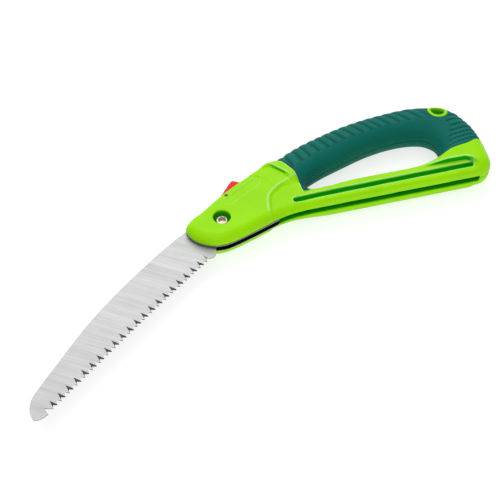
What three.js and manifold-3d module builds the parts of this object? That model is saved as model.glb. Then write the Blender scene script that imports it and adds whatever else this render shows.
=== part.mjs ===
// Folding pruning saw with a closed D-shaped handle, lying on its side.
//
// Millimetres.  The handle is drawn around the blade's pivot: X runs along the straight
// strut towards the rear, Y from the strut towards the hand grip, and Z across the handle,
// zero at the middle of the blade.  The whole saw is then moved so that the origin is under
// the middle of its box.  The blade is open, and the lock lever stands at its release point.

import * as THREE from 'three';
import { mergeVertices } from 'three/addons/utils/BufferGeometryUtils.js';
import Module from 'manifold-3d';

const wasm = await Module();
wasm.setup();

// ---------------------------------------------------------------- driving dimensions

const GAP = 0.3; // clearance between moulded neighbours
const FIT = 0.1; // clearance between flat washers, plates and screw heads
const TOLERANCE = 0.05; // finest detail that is kept on a surface

// blade, in its own frame: X from the pivot to the tip, Y towards the teeth
const BLADE_THICKNESS = 1.2;
const BLADE_REACH = 208.7;
const OPEN_ANGLE = -139.2; // direction of the open blade, degrees
const FOLD_ANGLE = 141; // turn from open to folded, degrees
const TOOTH_PITCH = 3.8;
const TOOTH_DEPTH = 2.6;
const TOOTHED_FROM = 33.4;
const TOOTHED_TO = 199.4;
const TANG_RADIUS = 14;
const TANG_RISE = 0.62; // direction where the tang's round rim ends towards the heel, radians
const NOTCH_DEPTH = 2.1;

// pivot stack
const BUSHING_RADIUS = 4;
const BUSHING_BORE = 3.1;
const SCREW_RADIUS = 2.9;
const COUNTERBORE_RADIUS = 6.8;
const COUNTERBORE_FLOOR = 4.3;
const SLOT_HALF_HEAD = 1.8; // half width of the slot between the two liner plates
const SLOT_HALF_STRUT = 2.95; // half width of the slot in the strut
const LINER_THICKNESS = 0.9;

// handle thickness, measured from the middle plane
const HEAD_HALF = 10.8;
const NECK_HALF = 13.4;
const STRUT_HALF = 10;
const GRIP_HALF = 14.5;
const GRIP_ROUND = 13.6; // radius of the grip's section
const CORE_HALF = 10.2;
const CORE_INSET = 4; // depth of the rubber over the hard core
const CORE_WALL = 2.6;

// hanging eye
const EYE = { x: 202.6, y: 70.4, bore: 6, rim: 8.7 };

// lock lever, in the frame of the head's top edge
const HEAD_TILT = 31; // slope of the head's top edge, degrees
const LEVER_PIN = { x: 18, y: 13.7, radius: 1.3 };
const NOSE_ANGLE = 96.5; // direction from the pivot to the seated nose, degrees

// stop pin that runs in the tang's curved slot
const STOP = { radius: 8.4, angle: 60, pin: 1 };

// housing screws: place, and depth of the seat under the head, on the right side
const SHELL_SCREWS = [
  { x: 46, y: 34, seat: 7.6 },
  { x: 60.5, y: 21.5, seat: 7 },
  { x: 93, y: 53, seat: 7 },
  { x: 140, y: 67, seat: 7 },
  { x: 184, y: 69, seat: 7 },
  { x: 206, y: 20.5, seat: 10 },
];
const SHELL_SCREW = { head: 3.2, headHeight: 2, shank: 1.45, pilot: 1.8, tip: 5 };

const COLOURS = {
  lime: { color: 0xa4e400, roughness: 0.42, metalness: 0 },
  teal: { color: 0x00695c, roughness: 0.6, metalness: 0 },
  red: { color: 0xf23c3c, roughness: 0.45, metalness: 0 },
  bladeSteel: { color: 0xd9dadb, roughness: 0.35, metalness: 0.9 },
  plateSteel: { color: 0xb9bcbf, roughness: 0.4, metalness: 0.9 },
  brightSteel: { color: 0xcfcac2, roughness: 0.25, metalness: 1 },
  darkSteel: { color: 0x77797c, roughness: 0.45, metalness: 0.9 },
  bronze: { color: 0xa9803f, roughness: 0.4, metalness: 0.9 },
};

// ---------------------------------------------------------------- solids

const vector = ([x, y]) => new THREE.Vector2(x, y);
const radians = THREE.MathUtils.degToRad;

/** A closed geometry as a solid that can be joined and cut. */
function solidOf(geometry) {
  const bare = geometry.clone();
  bare.deleteAttribute('normal');
  bare.deleteAttribute('uv');
  const merged = mergeVertices(bare, 1e-4);
  return new wasm.Manifold(
    new wasm.Mesh({
      numProp: 3,
      vertProperties: new Float32Array(merged.attributes.position.array),
      triVerts: new Uint32Array(merged.index.array),
    }),
  );
}

/** A solid as a geometry, without edges and slivers finer than the moulding tolerance. */
function geometryOf(solid) {
  const mesh = solid.simplify(TOLERANCE).getMesh();
  const geometry = new THREE.BufferGeometry();
  geometry.setAttribute('position', new THREE.BufferAttribute(mesh.vertProperties, 3));
  geometry.setIndex(new THREE.BufferAttribute(mesh.triVerts, 1));
  return geometry;
}

/** A flat outline carried from zLow to zHigh. */
function prism(shape, zLow, zHigh, curveSegments = 3) {
  const geometry = new THREE.ExtrudeGeometry(shape, {
    depth: zHigh - zLow,
    bevelEnabled: false,
    curveSegments,
  });
  geometry.translate(0, 0, zLow);
  return solidOf(geometry);
}

/** A flat outline carried to half on both sides of the middle, its edges rounded and its sides moved in by inset. */
function pillow(shape, half, round, { inset = 0, steps = 3, curveSegments = 2 } = {}) {
  const geometry = new THREE.ExtrudeGeometry(shape, {
    depth: 2 * (half - round),
    bevelEnabled: true,
    bevelThickness: round,
    bevelSize: round,
    bevelOffset: -round - inset,
    bevelSegments: steps,
    curveSegments,
  });
  geometry.translate(0, 0, round - half);
  return solidOf(geometry);
}

/** A round bar along Z. */
function bar(x, y, radius, zLow, zHigh, sides = 24) {
  const geometry = new THREE.CylinderGeometry(radius, radius, zHigh - zLow, sides);
  geometry.rotateX(Math.PI / 2);
  geometry.translate(x, y, (zLow + zHigh) / 2);
  return solidOf(geometry);
}

/** A box that fills one side of the middle plane, from just past the joint line. */
function halfSpace(side) {
  const geometry = new THREE.BoxGeometry(600, 400, 60);
  geometry.translate(100, 20, side * (30 + GAP / 2));
  return solidOf(geometry);
}

/** A straight slot with round ends. */
function stadium(start, end, radius) {
  const along = vector(end).sub(vector(start)).angle();
  const shape = new THREE.Shape();
  shape.absarc(...start, radius, along + Math.PI / 2, along - Math.PI / 2, false);
  shape.absarc(...end, radius, along - Math.PI / 2, along + Math.PI / 2, false);
  return shape;
}

/** A curved slot about the pivot with round ends. */
function arcSlot(radius, halfWidth, from, to) {
  const shape = new THREE.Shape();
  const start = radians(from);
  const end = radians(to);
  const capAt = (angle) => [radius * Math.cos(angle), radius * Math.sin(angle)];
  shape.absarc(0, 0, radius + halfWidth, start, end, false);
  shape.absarc(...capAt(end), halfWidth, end, end + Math.PI, false);
  shape.absarc(0, 0, radius - halfWidth, end, start, true);
  shape.absarc(...capAt(start), halfWidth, start + Math.PI, start + 2 * Math.PI, false);
  return shape;
}

/** The same solid, turned about Z by an angle in degrees. */
const turned = (solid, degrees) => solid.rotate([0, 0, degrees]);

// ---------------------------------------------------------------- outlines of the handle

/** Head and neck as the top edge shapes them, open room below. */
function headTopOutline() {
  const top = [[53, 50], [30, 38.2], [10, 26.4], [-5, 15.8], [-15, 8.4], [-24, 3.2]];
  const shape = new THREE.Shape();
  shape.moveTo(78, -40);
  shape.lineTo(78, 30);
  shape.lineTo(67, 57.5);
  shape.splineThru([...top, [-28.2, -1.4], [-30.6, -10]].map(vector));
  shape.lineTo(-31, -40);
  return shape;
}

/** Head and neck as the nose and the mouth below shape them, open room above. */
function headUnderOutline() {
  const nose = [[-28.5, -2.6], [-27, -7.9], [-23.8, -12.9], [-18.8, -17.4], [-10.7, -21.2]];
  const mouth = [[-3.5, -21.8], [4, -20.6], [22, -14.8], [40, -8.2], [53, -4.6], [66, -3.1]];
  const shape = new THREE.Shape();
  shape.moveTo(84, -2.8);
  shape.lineTo(84, 80);
  shape.lineTo(-20, 80);
  shape.lineTo(-31, 14);
  shape.splineThru([...nose, ...mouth, [84, -2.8]].map(vector));
  return shape;
}

/** Ground plan that ends the head towards the strut and the hand opening. */
function headLimit() {
  const shape = new THREE.Shape();
  shape.moveTo(-60, -60);
  shape.lineTo(62, -60);
  shape.lineTo(74.5, 8);
  shape.lineTo(76, 90);
  shape.lineTo(-60, 90);
  return shape;
}

/** Straight strut with its round rear end. */
function strutOutline() {
  const shape = new THREE.Shape();
  shape.moveTo(44, -6.6);
  shape.splineThru([[58, -3.8], [75, -2.8], [95, -2.6]].map(vector));
  shape.lineTo(205, -1.3);
  shape.splineThru([[213, -0.9], [219.6, 1.2], [224.2, 5.6], [225.4, 13]].map(vector));
  shape.lineTo(221, 24);
  shape.lineTo(190, 24);
  shape.splineThru([[177, 17.9], [165, 16.1]].map(vector));
  shape.lineTo(82, 14.7);
  shape.lineTo(44, 22);
  return shape;
}

/** Ground plan of the raised neck between the head and the grip. */
function neckZone() {
  const shape = new THREE.Shape();
  shape.moveTo(44, 60);
  shape.splineThru([[46.5, 46], [51, 37.5], [58, 30.6], [68, 26.4], [80, 24.4]].map(vector));
  shape.lineTo(80, 60);
  return shape;
}

/** Ground plan of the thick rear arm between the strut and the grip. */
function armZone() {
  const shape = new THREE.Shape();
  shape.moveTo(168, 12.8);
  shape.splineThru([[188, 13.1], [204, 12.8], [210, 9.8], [216, 7.2], [222, 8.4], [232, 14]].map(vector));
  shape.lineTo(236, 44);
  shape.lineTo(168, 44);
  return shape;
}

/** Outside of the closed D of the handle, as the rubber grip and the rear arm show it. */
function handleOutline() {
  const shape = new THREE.Shape();
  const crown = [[75, 61.8], [95, 69.4], [115, 75.8], [135, 80.2], [155, 83], [173, 84.4], [190, 84.2]];
  const heel = [[204, 82.4], [214.2, 77.6], [221.2, 68], [225.4, 55], [227.6, 42], [227.8, 30], [227.2, 12]];
  shape.moveTo(214, -17);
  shape.lineTo(227, -4);
  shape.splineThru([...heel.reverse(), ...crown.reverse(), [53, 50.6], [26, 36.9]].map(vector));
  shape.lineTo(26, 12);
  shape.lineTo(56, -17);
  return shape;
}

/** Opening for the hand inside the D. */
function handOpening() {
  const path = new THREE.Path();
  path.moveTo(165, 16);
  path.lineTo(82, 14.6);
  path.splineThru([[75.5, 16], [72, 20], [74.5, 25.5], [82, 30]].map(vector));
  path.splineThru([[92.5, 34.8], [113, 42.2], [133.6, 49], [154, 53], [172, 53.4]].map(vector));
  path.splineThru([[184.4, 50.2], [190.6, 42.8], [190.6, 32], [185, 22], [176, 17.8], [165, 16]].map(vector));
  return path;
}

/** The full D with its hand opening. */
function handleRing() {
  const ring = handleOutline();
  ring.holes.push(handOpening());
  return ring;
}

/** The full D with the round section of the grip. */
function roundRing() {
  return pillow(handleRing(), GRIP_HALF, GRIP_ROUND, { steps: 5 });
}

/** Ground plan of the rubber grip, from its front joint to its rear joint, both moved in by gap. */
function gripZone(gap = 0) {
  const front = [[68.6, 14.4], [68.2, 19.5], [68.6, 25], [67.6, 29], [65, 34.8], [61.4, 41.6], [57.4, 47.2], [52, 52.4]];
  const rear = [[230, 33.2], [221, 30.6], [211.5, 27.4], [201.7, 25.7], [191.7, 22.9], [182, 19.4]];
  const shape = new THREE.Shape();
  shape.moveTo(front[0][0] + gap, front[0][1] + gap);
  shape.splineThru(front.slice(1).map(([x, y]) => vector([x + gap, y])));
  shape.lineTo(40, 66);
  shape.lineTo(100, 110);
  shape.lineTo(250, 110);
  shape.lineTo(250, rear[0][1] + gap);
  shape.lineTo(rear[0][0], rear[0][1] + gap);
  shape.splineThru(rear.slice(1).map(([x, y]) => vector([x, y + gap])));
  shape.lineTo(150, 20);
  shape.lineTo(90, 18);
  shape.lineTo(80, 14.8 + gap);
  return shape;
}

// ---------------------------------------------------------------- hollows inside the handle

/** Slot that the tang turns in and that the folded blade drops into. */
function bladeSlot() {
  const head = new THREE.Shape();
  head.moveTo(-40, -60);
  head.lineTo(-40, -10);
  head.lineTo(-29.5, 2.4);
  head.lineTo(-19, 6);
  head.splineThru([[-11, 10.6], [-2, 14.6], [6, 15.6]].map(vector));
  head.lineTo(40, 15.6);
  head.lineTo(62, 12.6);
  head.lineTo(62, -60);
  const strut = new THREE.Shape();
  strut.moveTo(46, -60);
  strut.lineTo(46, 12.3);
  strut.lineTo(208, 12.3);
  strut.absarc(208, 7.3, 5, Math.PI / 2, 0, true);
  strut.lineTo(213, -60);
  const halfInHead = SLOT_HALF_HEAD + LINER_THICKNESS + FIT;
  return prism(head, -halfInHead, halfInHead).add(prism(strut, -SLOT_HALF_STRUT, SLOT_HALF_STRUT));
}

/** Room for the lock lever, its button and its spring, in the frame of the head's top edge. */
function leverRoom() {
  const room = new THREE.Shape();
  room.moveTo(1.5, 9);
  room.lineTo(1.5, 16.6);
  room.lineTo(12.4, 16.9);
  room.lineTo(12.4, 24);
  room.lineTo(43.6, 24);
  room.lineTo(43.6, 11);
  room.lineTo(37.6, 9.4);
  room.lineTo(37.6, 5.4);
  room.lineTo(29.4, 5.4);
  room.lineTo(29.4, 9);
  return turned(prism(room, -4.4, 4.4), HEAD_TILT);
}

/** Long side groove of the strut, one for each side. */
function sideGroove(side) {
  const groove = stadium([59.8, 4.8], [206, 7.4], 2.3);
  return side > 0 ? prism(groove, STRUT_HALF - 3.8, 20, 6) : prism(groove, -20, 3.8 - STRUT_HALF, 6);
}

/** Shallow plate recess along the head's top edge, one for each side. */
function plateRecess(side) {
  const plate = new THREE.Shape();
  plate.moveTo(14.5, 6.2);
  plate.lineTo(33, 4.6);
  plate.quadraticCurveTo(42.5, 4.2, 42, 8.4);
  plate.quadraticCurveTo(42, 11.3, 39.5, 11.3);
  plate.lineTo(15.5, 11.3);
  plate.quadraticCurveTo(12.4, 11.3, 12.4, 8.6);
  plate.quadraticCurveTo(12.4, 6.3, 14.5, 6.2);
  const depth = 0.5;
  const cut = side > 0 ? prism(plate, HEAD_HALF - depth, 20) : prism(plate, -20, depth - HEAD_HALF);
  return turned(cut, HEAD_TILT);
}

// ---------------------------------------------------------------- moulded handle

/** Hard plastic body before it is hollowed: head, neck, strut, rear arm. */
function outerBody() {
  const headTop = pillow(headTopOutline(), HEAD_HALF, 2.5);
  const headUnder = pillow(headUnderOutline(), HEAD_HALF, 7.5, { steps: 4 });
  const strut = pillow(strutOutline(), STRUT_HALF, 3);
  const arm = roundRing().intersect(prism(armZone(), -20, 20));
  const neck = roundRing().intersect(prism(neckZone(), -NECK_HALF, NECK_HALF));
  const head = headTop.intersect(headUnder).intersect(prism(headLimit(), -20, 20));
  return head.add(strut).add(arm).add(neck);
}

/** Hard core that the rubber is moulded on, as a shell around a hollow. */
function gripCore(grow = 0) {
  const ring = handleRing();
  const reach = prism(gripZone(-6), -30, 30);
  return pillow(ring, CORE_HALF + grow, 4, { inset: CORE_INSET - grow }).intersect(reach);
}

/** Hollow inside the hard core. */
function coreHollow() {
  const ring = handleRing();
  const inner = pillow(ring, CORE_HALF - CORE_WALL, 2, { inset: CORE_INSET + CORE_WALL });
  return inner.intersect(prism(gripZone(2.5), -30, 30));
}

/** Everything that is cut out of the hard body. */
function handleCuts() {
  let cuts = bladeSlot().add(leverRoom());
  for (const side of [1, -1]) {
    const [low, high] = side > 0 ? [COUNTERBORE_FLOOR, 30] : [-30, -COUNTERBORE_FLOOR];
    cuts = cuts.add(bar(0, 0, COUNTERBORE_RADIUS, low, high, 32));
    cuts = cuts.add(sideGroove(side)).add(plateRecess(side));
  }
  cuts = cuts.add(bar(0, 0, BUSHING_BORE + 0.15, -20, 20));
  cuts = cuts.add(turned(bar(LEVER_PIN.x, LEVER_PIN.y, LEVER_PIN.radius + 0.15, -20, 20, 20), HEAD_TILT));
  const stop = turned(bar(STOP.radius, 0, STOP.pin + 0.15, -4.6, 4.6, 16), STOP.angle);
  return cuts.add(stop).add(bar(EYE.x, EYE.y, EYE.bore, -30, 30, 28));
}

/** Counterbored hole of one housing screw. */
function screwHole({ x, y, seat }) {
  const shank = bar(x, y, SHELL_SCREW.pilot, -seat, SHELL_SCREW.tip + 0.6, 12);
  return shank.add(bar(x, y, SHELL_SCREW.head + 0.5, -30, -seat, 18));
}

/** Post around one housing screw, through the hollow of the core and into its walls. */
function screwPost({ x, y }) {
  const reach = CORE_HALF - CORE_WALL / 2;
  return bar(x, y, SHELL_SCREW.head + 1.6, -reach, reach, 18);
}

/** Both halves of the hard plastic shell in one piece. */
function shellBody() {
  const rubber = prism(gripZone(), -30, 30);
  const core = gripCore().subtract(coreHollow());
  const posts = SHELL_SCREWS.slice(2, 5).map(screwPost).reduce((all, post) => all.add(post));
  const tube = bar(EYE.x, EYE.y, EYE.rim, -30, 30, 28).intersect(roundRing());
  return outerBody().subtract(rubber).add(core).add(posts).add(tube).subtract(handleCuts());
}

/** Both halves of the rubber grip in one piece. */
function gripBody() {
  const skin = roundRing().intersect(prism(gripZone(GAP), -30, 30));
  return skin.subtract(gripCore(GAP)).subtract(bar(EYE.x, EYE.y, EYE.rim + GAP, -30, 30, 28));
}

// ---------------------------------------------------------------- blade

/** Points of one tooth: its gullet and its tip. */
function toothPoints(index, edge) {
  const tip = TOOTHED_FROM + TOOTH_PITCH * (index + 0.5);
  return [
    [tip - TOOTH_PITCH / 2, edge(tip - TOOTH_PITCH / 2) - TOOTH_DEPTH],
    [tip, edge(tip)],
  ];
}

/** Height of the tooth tips above the pivot's line, at a distance along the blade. */
function toothLine(along) {
  const share = (along - TOOTHED_FROM) / (TOOTHED_TO - TOOTHED_FROM);
  return 12.2 - 14.6 * share + 9.6 * share ** 2 - 3.3 * share ** 3;
}

/** Outline of the blade with its teeth, heel, tang and back. */
function bladeOutline() {
  const count = Math.floor((TOOTHED_TO - TOOTHED_FROM) / TOOTH_PITCH);
  const shape = new THREE.Shape();
  shape.moveTo(TANG_RADIUS * Math.cos(TANG_RISE), TANG_RADIUS * Math.sin(TANG_RISE));
  shape.lineTo(20.4, 9.4);
  shape.lineTo(26.2, 13.4);
  shape.splineThru([[28.6, 13.5], [31.4, 12.2], [TOOTHED_FROM - 0.8, 10.2]].map(vector));
  for (let index = 0; index < count; index += 1) {
    for (const point of toothPoints(index, toothLine)) {
      shape.lineTo(...point);
    }
  }
  shape.lineTo(198.4, 0.6);
  shape.lineTo(200.4, 3.4);
  shape.splineThru([[204.5, 2.9], [BLADE_REACH, 0], [206.8, -6], [198.7, -12.4]].map(vector));
  shape.splineThru([[188, -14.7], [167, -17.6], [145, -20.8], [126.6, -22.7], [97, -23.6]].map(vector));
  shape.splineThru([[55, -22.4], [30, -20], [20, -18.4], [11, -15.2], [3.6, -13.53]].map(vector));
  shape.absarc(0, 0, TANG_RADIUS, radians(-75), TANG_RISE - 2 * Math.PI, true);
  return shape;
}

/** Lock notch in the tang's rim, opened outwards, in the blade's frame. */
function lockNotch(angle) {
  const notch = new THREE.Shape();
  notch.moveTo(TANG_RADIUS - NOTCH_DEPTH, -2);
  notch.lineTo(TANG_RADIUS + 3, -2.9);
  notch.lineTo(TANG_RADIUS + 3, 2.9);
  notch.lineTo(TANG_RADIUS - NOTCH_DEPTH, 2);
  return turned(prism(notch, -2, 2), angle);
}

/** Saw blade with its bore, curved stop slot and two lock notches, in its own frame. */
function bladeSolid() {
  const half = BLADE_THICKNESS / 2;
  const fromOpen = STOP.angle - OPEN_ANGLE;
  const fromFolded = fromOpen - FOLD_ANGLE;
  const slot = prism(arcSlot(STOP.radius, STOP.pin + 0.3, fromFolded - 1, fromOpen + 1), -2, 2, 16);
  return prism(bladeOutline(), -half, half, 5)
    .subtract(bar(0, 0, BUSHING_RADIUS + 0.12, -2, 2, 32))
    .subtract(slot)
    .subtract(lockNotch(NOSE_ANGLE - OPEN_ANGLE))
    .subtract(lockNotch(NOSE_ANGLE - OPEN_ANGLE - FOLD_ANGLE));
}

// ---------------------------------------------------------------- pivot

/** Steel plate beside the tang, flush with the mouth of the head. */
function linerSolid(side) {
  const shape = new THREE.Shape();
  shape.moveTo(-28.6, -2);
  shape.splineThru([[-27.2, -8.1], [-24, -13.1], [-19, -17.6], [-10.8, -21.5]].map(vector));
  shape.splineThru([[-3.5, -22.1], [4, -20.9], [22, -15.1], [42, -7.9]].map(vector));
  shape.quadraticCurveTo(45.4, -6.6, 44.4, -4.6);
  shape.lineTo(36, 8);
  shape.lineTo(22, 12);
  shape.splineThru([[4, 14.3], [-6, 12.6], [-14, 8.2], [-20, 5]].map(vector));
  shape.lineTo(-28.4, 1.4);
  const [low, high] = [SLOT_HALF_HEAD, SLOT_HALF_HEAD + LINER_THICKNESS];
  const plate = side > 0 ? prism(shape, low, high) : prism(shape, -high, -low);
  const stop = turned(bar(STOP.radius, 0, STOP.pin + 0.15, -20, 20, 16), STOP.angle);
  return plate.subtract(bar(0, 0, BUSHING_BORE + 0.15, -20, 20)).subtract(stop);
}

/** Closed ring about the pivot, turned from its section. */
function turnedRing(inner, outer, zLow, zHigh, sides = 28) {
  const section = [[inner, zLow], [outer, zLow], [outer, zHigh], [inner, zHigh], [inner, zLow]];
  const geometry = new THREE.LatheGeometry(section.map(vector), sides);
  geometry.rotateX(Math.PI / 2);
  geometry.scale(1, 1, -1);
  geometry.index.array.reverse();
  return solidOf(geometry);
}

/** Regular polygon bar along Z, its size measured across the flats. */
function polygonBar(sides, acrossFlats, zLow, zHigh) {
  return bar(0, 0, acrossFlats / 2 / Math.cos(Math.PI / sides), zLow, zHigh, sides);
}

/** Pivot screw with a domed head and a hexagon socket. */
function pivotScrew() {
  const seat = COUNTERBORE_FLOOR + FIT;
  const profile = [[0, -8.4], [SCREW_RADIUS - 0.5, -8.4], [SCREW_RADIUS, -7.9], [SCREW_RADIUS, seat]];
  const head = [[5, seat], [5, seat + 1.6], [4.6, seat + 2.2], [3.8, seat + 2.6], [0, seat + 2.6]];
  const geometry = new THREE.LatheGeometry([...profile, ...head].map(vector), 28);
  geometry.rotateX(Math.PI / 2);
  const screw = solidOf(geometry);
  return screw.subtract(polygonBar(6, 4.6, seat + 0.8, seat + 4));
}

/** Hexagon nut under the right shell. */
function pivotNut() {
  const seat = COUNTERBORE_FLOOR + FIT;
  return polygonBar(6, 10, -seat - 3, -seat).subtract(bar(0, 0, SCREW_RADIUS + 0.15, -20, 20));
}

// ---------------------------------------------------------------- lock

/** Steel lock lever: nose, pin boss and the arm under the button. */
function leverSolid() {
  const shape = new THREE.Shape();
  shape.moveTo(3.7, 14);
  shape.lineTo(6.4, 12.95);
  shape.lineTo(7, 14.3);
  shape.lineTo(10.4, 12.6);
  shape.lineTo(15.2, 11.2);
  shape.quadraticCurveTo(18, 9.6, 21, 11.2);
  shape.lineTo(40.5, 11.6);
  shape.lineTo(40.5, 14.4);
  shape.lineTo(21, 15.4);
  shape.quadraticCurveTo(18, 17.4, 15, 16.1);
  shape.lineTo(4.2, 16.1);
  const half = 1.6;
  return prism(shape, -half, half).subtract(bar(LEVER_PIN.x, LEVER_PIN.y, LEVER_PIN.radius + 0.12, -20, 20, 24));
}

/** Red thumb button, moulded over the lever's arm. */
function buttonSolid() {
  const shape = new THREE.Shape();
  shape.moveTo(14.6, 17.2);
  shape.lineTo(14.8, 19.2);
  shape.quadraticCurveTo(19, 20.3, 22, 21.9);
  shape.lineTo(34.6, 26.4);
  shape.quadraticCurveTo(36.7, 26.9, 37.4, 25.3);
  shape.lineTo(41.9, 17.6);
  shape.lineTo(42.2, 12.4);
  shape.lineTo(23.5, 12.4);
  shape.lineTo(22.5, 17.2);
  const pad = pillow(shape, 4, 0.6, { steps: 2 });
  const arm = new THREE.Shape();
  arm.moveTo(10, 9);
  arm.lineTo(40.8, 9);
  arm.lineTo(40.8, 14.7);
  arm.lineTo(21, 15.7);
  arm.lineTo(10, 17.7);
  return pad.subtract(prism(arm, -1.9, 1.9));
}

/** Compression spring under the button: a round wire along a helix. */
function springSolid() {
  const turns = 4;
  const base = 6;
  const top = 11.1;
  const radius = 2;
  class Helix extends THREE.Curve {
    getPoint(share, target = new THREE.Vector3()) {
      const angle = share * turns * 2 * Math.PI;
      const height = base + (top - base) * share;
      return target.set(33.5 + radius * Math.cos(angle), height, radius * Math.sin(angle));
    }
  }
  const wire = new THREE.Shape();
  wire.absarc(0, 0, 0.35, 0, 2 * Math.PI, false);
  return solidOf(
    new THREE.ExtrudeGeometry(wire, {
      steps: 56,
      extrudePath: new Helix(),
      curveSegments: 3,
      bevelEnabled: false,
    }),
  );
}

// ---------------------------------------------------------------- screws

/** Housing screw with a cross recess, standing with its head down. */
function shellScrewSolid(seat) {
  const { head, headHeight, shank, tip } = SHELL_SCREW;
  const top = -seat - FIT;
  const crown = [[0, top - headHeight], [head - 0.9, top - headHeight], [head, top - headHeight + 0.9]];
  const rod = [[head, top], [shank, top], [shank, tip - 2], [0.3, tip], [0, tip]];
  const geometry = new THREE.LatheGeometry([...crown, ...rod].map(vector), 14);
  geometry.rotateX(Math.PI / 2);
  const arm = new THREE.BoxGeometry(3.4, 0.8, 1.6);
  arm.translate(0, 0, top - headHeight);
  const slot = solidOf(arm);
  return solidOf(geometry).subtract(slot.add(turned(slot, 90)));
}

// ---------------------------------------------------------------- assembly

/** A named mesh from a solid. */
function piece(name, solid, finish) {
  const mesh = new THREE.Mesh(geometryOf(solid), new THREE.MeshStandardMaterial(COLOURS[finish]));
  mesh.name = name;
  return mesh;
}

/** The two moulded shells and the two halves of the grip. */
function handleGroup() {
  const group = new THREE.Group();
  const shell = SHELL_SCREWS.map(screwHole).reduce((body, hole) => body.subtract(hole), shellBody());
  const grip = SHELL_SCREWS.map(screwHole).reduce((body, hole) => body.subtract(hole), gripBody());
  for (const [side, label] of [[1, 'left'], [-1, 'right']]) {
    group.add(piece(`handle_shell_${label}`, shell.intersect(halfSpace(side)), 'lime'));
    group.add(piece(`grip_${label}`, grip.intersect(halfSpace(side)), 'teal'));
  }
  return group;
}

/** Screw, nut, bushing, washers and liner plates about the pivot. */
function pivotGroup() {
  const group = new THREE.Group();
  const washerLow = BLADE_THICKNESS / 2 + 0.1;
  const washerHigh = SLOT_HALF_HEAD - 0.1;
  group.add(piece('pivot_screw', pivotScrew(), 'brightSteel'));
  group.add(piece('pivot_nut', pivotNut(), 'brightSteel'));
  group.add(piece('pivot_bushing', turnedRing(BUSHING_BORE, BUSHING_RADIUS, -1.7, 1.7), 'bronze'));
  group.add(piece('washer_left', turnedRing(BUSHING_RADIUS + 0.2, 6.4, washerLow, washerHigh), 'bronze'));
  group.add(piece('washer_right', turnedRing(BUSHING_RADIUS + 0.2, 6.4, -washerHigh, -washerLow), 'bronze'));
  group.add(piece('liner_left', linerSolid(1), 'plateSteel'));
  group.add(piece('liner_right', linerSolid(-1), 'plateSteel'));
  const stopPin = piece('stop_pin', bar(STOP.radius, 0, STOP.pin, -4.4, 4.4, 16), 'darkSteel');
  const turn = new THREE.Group();
  turn.rotation.z = radians(STOP.angle);
  turn.add(stopPin);
  group.add(turn);
  return group;
}

/** Blade, set at its open direction. */
function bladeGroup() {
  const group = new THREE.Group();
  group.rotation.z = radians(OPEN_ANGLE);
  group.add(piece('blade', bladeSolid(), 'bladeSteel'));
  return group;
}

/** Lever, button, pin and spring, set in the frame of the head's top edge. */
function lockGroup() {
  const group = new THREE.Group();
  group.rotation.z = radians(HEAD_TILT);
  const pin = bar(LEVER_PIN.x, LEVER_PIN.y, LEVER_PIN.radius, -9.6, 9.6, 24);
  group.add(piece('lock_lever', leverSolid(), 'plateSteel'));
  group.add(piece('thumb_button', buttonSolid(), 'red'));
  group.add(piece('lever_pin', pin, 'darkSteel'));
  group.add(piece('lock_spring', springSolid(), 'brightSteel'));
  return group;
}

/** Screws that hold the two shells together. */
function screwGroup() {
  const group = new THREE.Group();
  SHELL_SCREWS.forEach(({ x, y, seat }, index) => {
    const screw = piece(`shell_screw_${index + 1}`, shellScrewSolid(seat), 'darkSteel');
    screw.position.set(x, y, 0);
    group.add(screw);
  });
  return group;
}

/** The whole saw, moved so that the origin lies under the middle of its box. */
function pruningSaw() {
  const saw = new THREE.Group();
  saw.add(handleGroup(), pivotGroup(), bladeGroup(), lockGroup(), screwGroup());
  const holder = new THREE.Group();
  holder.add(saw);
  holder.updateMatrixWorld(true);
  const box = new THREE.Box3().setFromObject(saw, true);
  const centre = box.getCenter(new THREE.Vector3());
  saw.position.set(-centre.x, -centre.y, -box.min.z);
  holder.updateMatrixWorld(true);
  return holder;
}

export default pruningSaw();
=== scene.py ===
"""Looks of a folding pruning saw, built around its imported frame.

The handle is drawn in millimetres around the blade's pivot: X along the strut to the rear,
Y from the strut to the hand grip, Z across the handle, zero at the middle of the blade.
Every finished mesh is in metres, in the axes of the frame.
"""

import logging
import math
from dataclasses import dataclass, field
from enum import Enum
from typing import Any, Iterable, Sequence

import bmesh
import bpy
import numpy as np
from mathutils import Matrix, Vector


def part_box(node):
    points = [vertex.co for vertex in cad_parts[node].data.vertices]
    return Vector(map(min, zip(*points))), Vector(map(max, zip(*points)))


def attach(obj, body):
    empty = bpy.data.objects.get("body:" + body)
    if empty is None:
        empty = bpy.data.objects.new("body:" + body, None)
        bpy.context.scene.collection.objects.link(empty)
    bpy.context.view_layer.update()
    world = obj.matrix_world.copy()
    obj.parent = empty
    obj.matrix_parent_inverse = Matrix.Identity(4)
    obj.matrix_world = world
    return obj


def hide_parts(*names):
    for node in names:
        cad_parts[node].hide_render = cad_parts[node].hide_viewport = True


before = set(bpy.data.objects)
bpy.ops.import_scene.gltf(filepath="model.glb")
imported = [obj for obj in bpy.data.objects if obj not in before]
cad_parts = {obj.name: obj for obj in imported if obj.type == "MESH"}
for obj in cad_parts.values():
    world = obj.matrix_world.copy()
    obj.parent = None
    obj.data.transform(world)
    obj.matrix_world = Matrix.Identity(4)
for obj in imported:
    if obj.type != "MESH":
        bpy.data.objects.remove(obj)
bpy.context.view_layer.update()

Point = tuple[float, float]
Place = tuple[float, float, float]
Colour = tuple[float, float, float]
Array = np.ndarray

log = logging.getLogger("pruning_saw")

MM = 0.001
HEAD_TILT = math.radians(31)  # slope of the head's top edge
OPEN_ANGLE = math.radians(-139.2)  # direction of the open blade
BLADE_HEIGHT = 0.0145  # from the floor to the middle of the blade, in metres
TINY = 1e-12


class Side(Enum):
    """The two halves of the handle."""

    LEFT = 1
    RIGHT = -1


# ---------------------------------------------------------------- numbers and outlines


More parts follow.
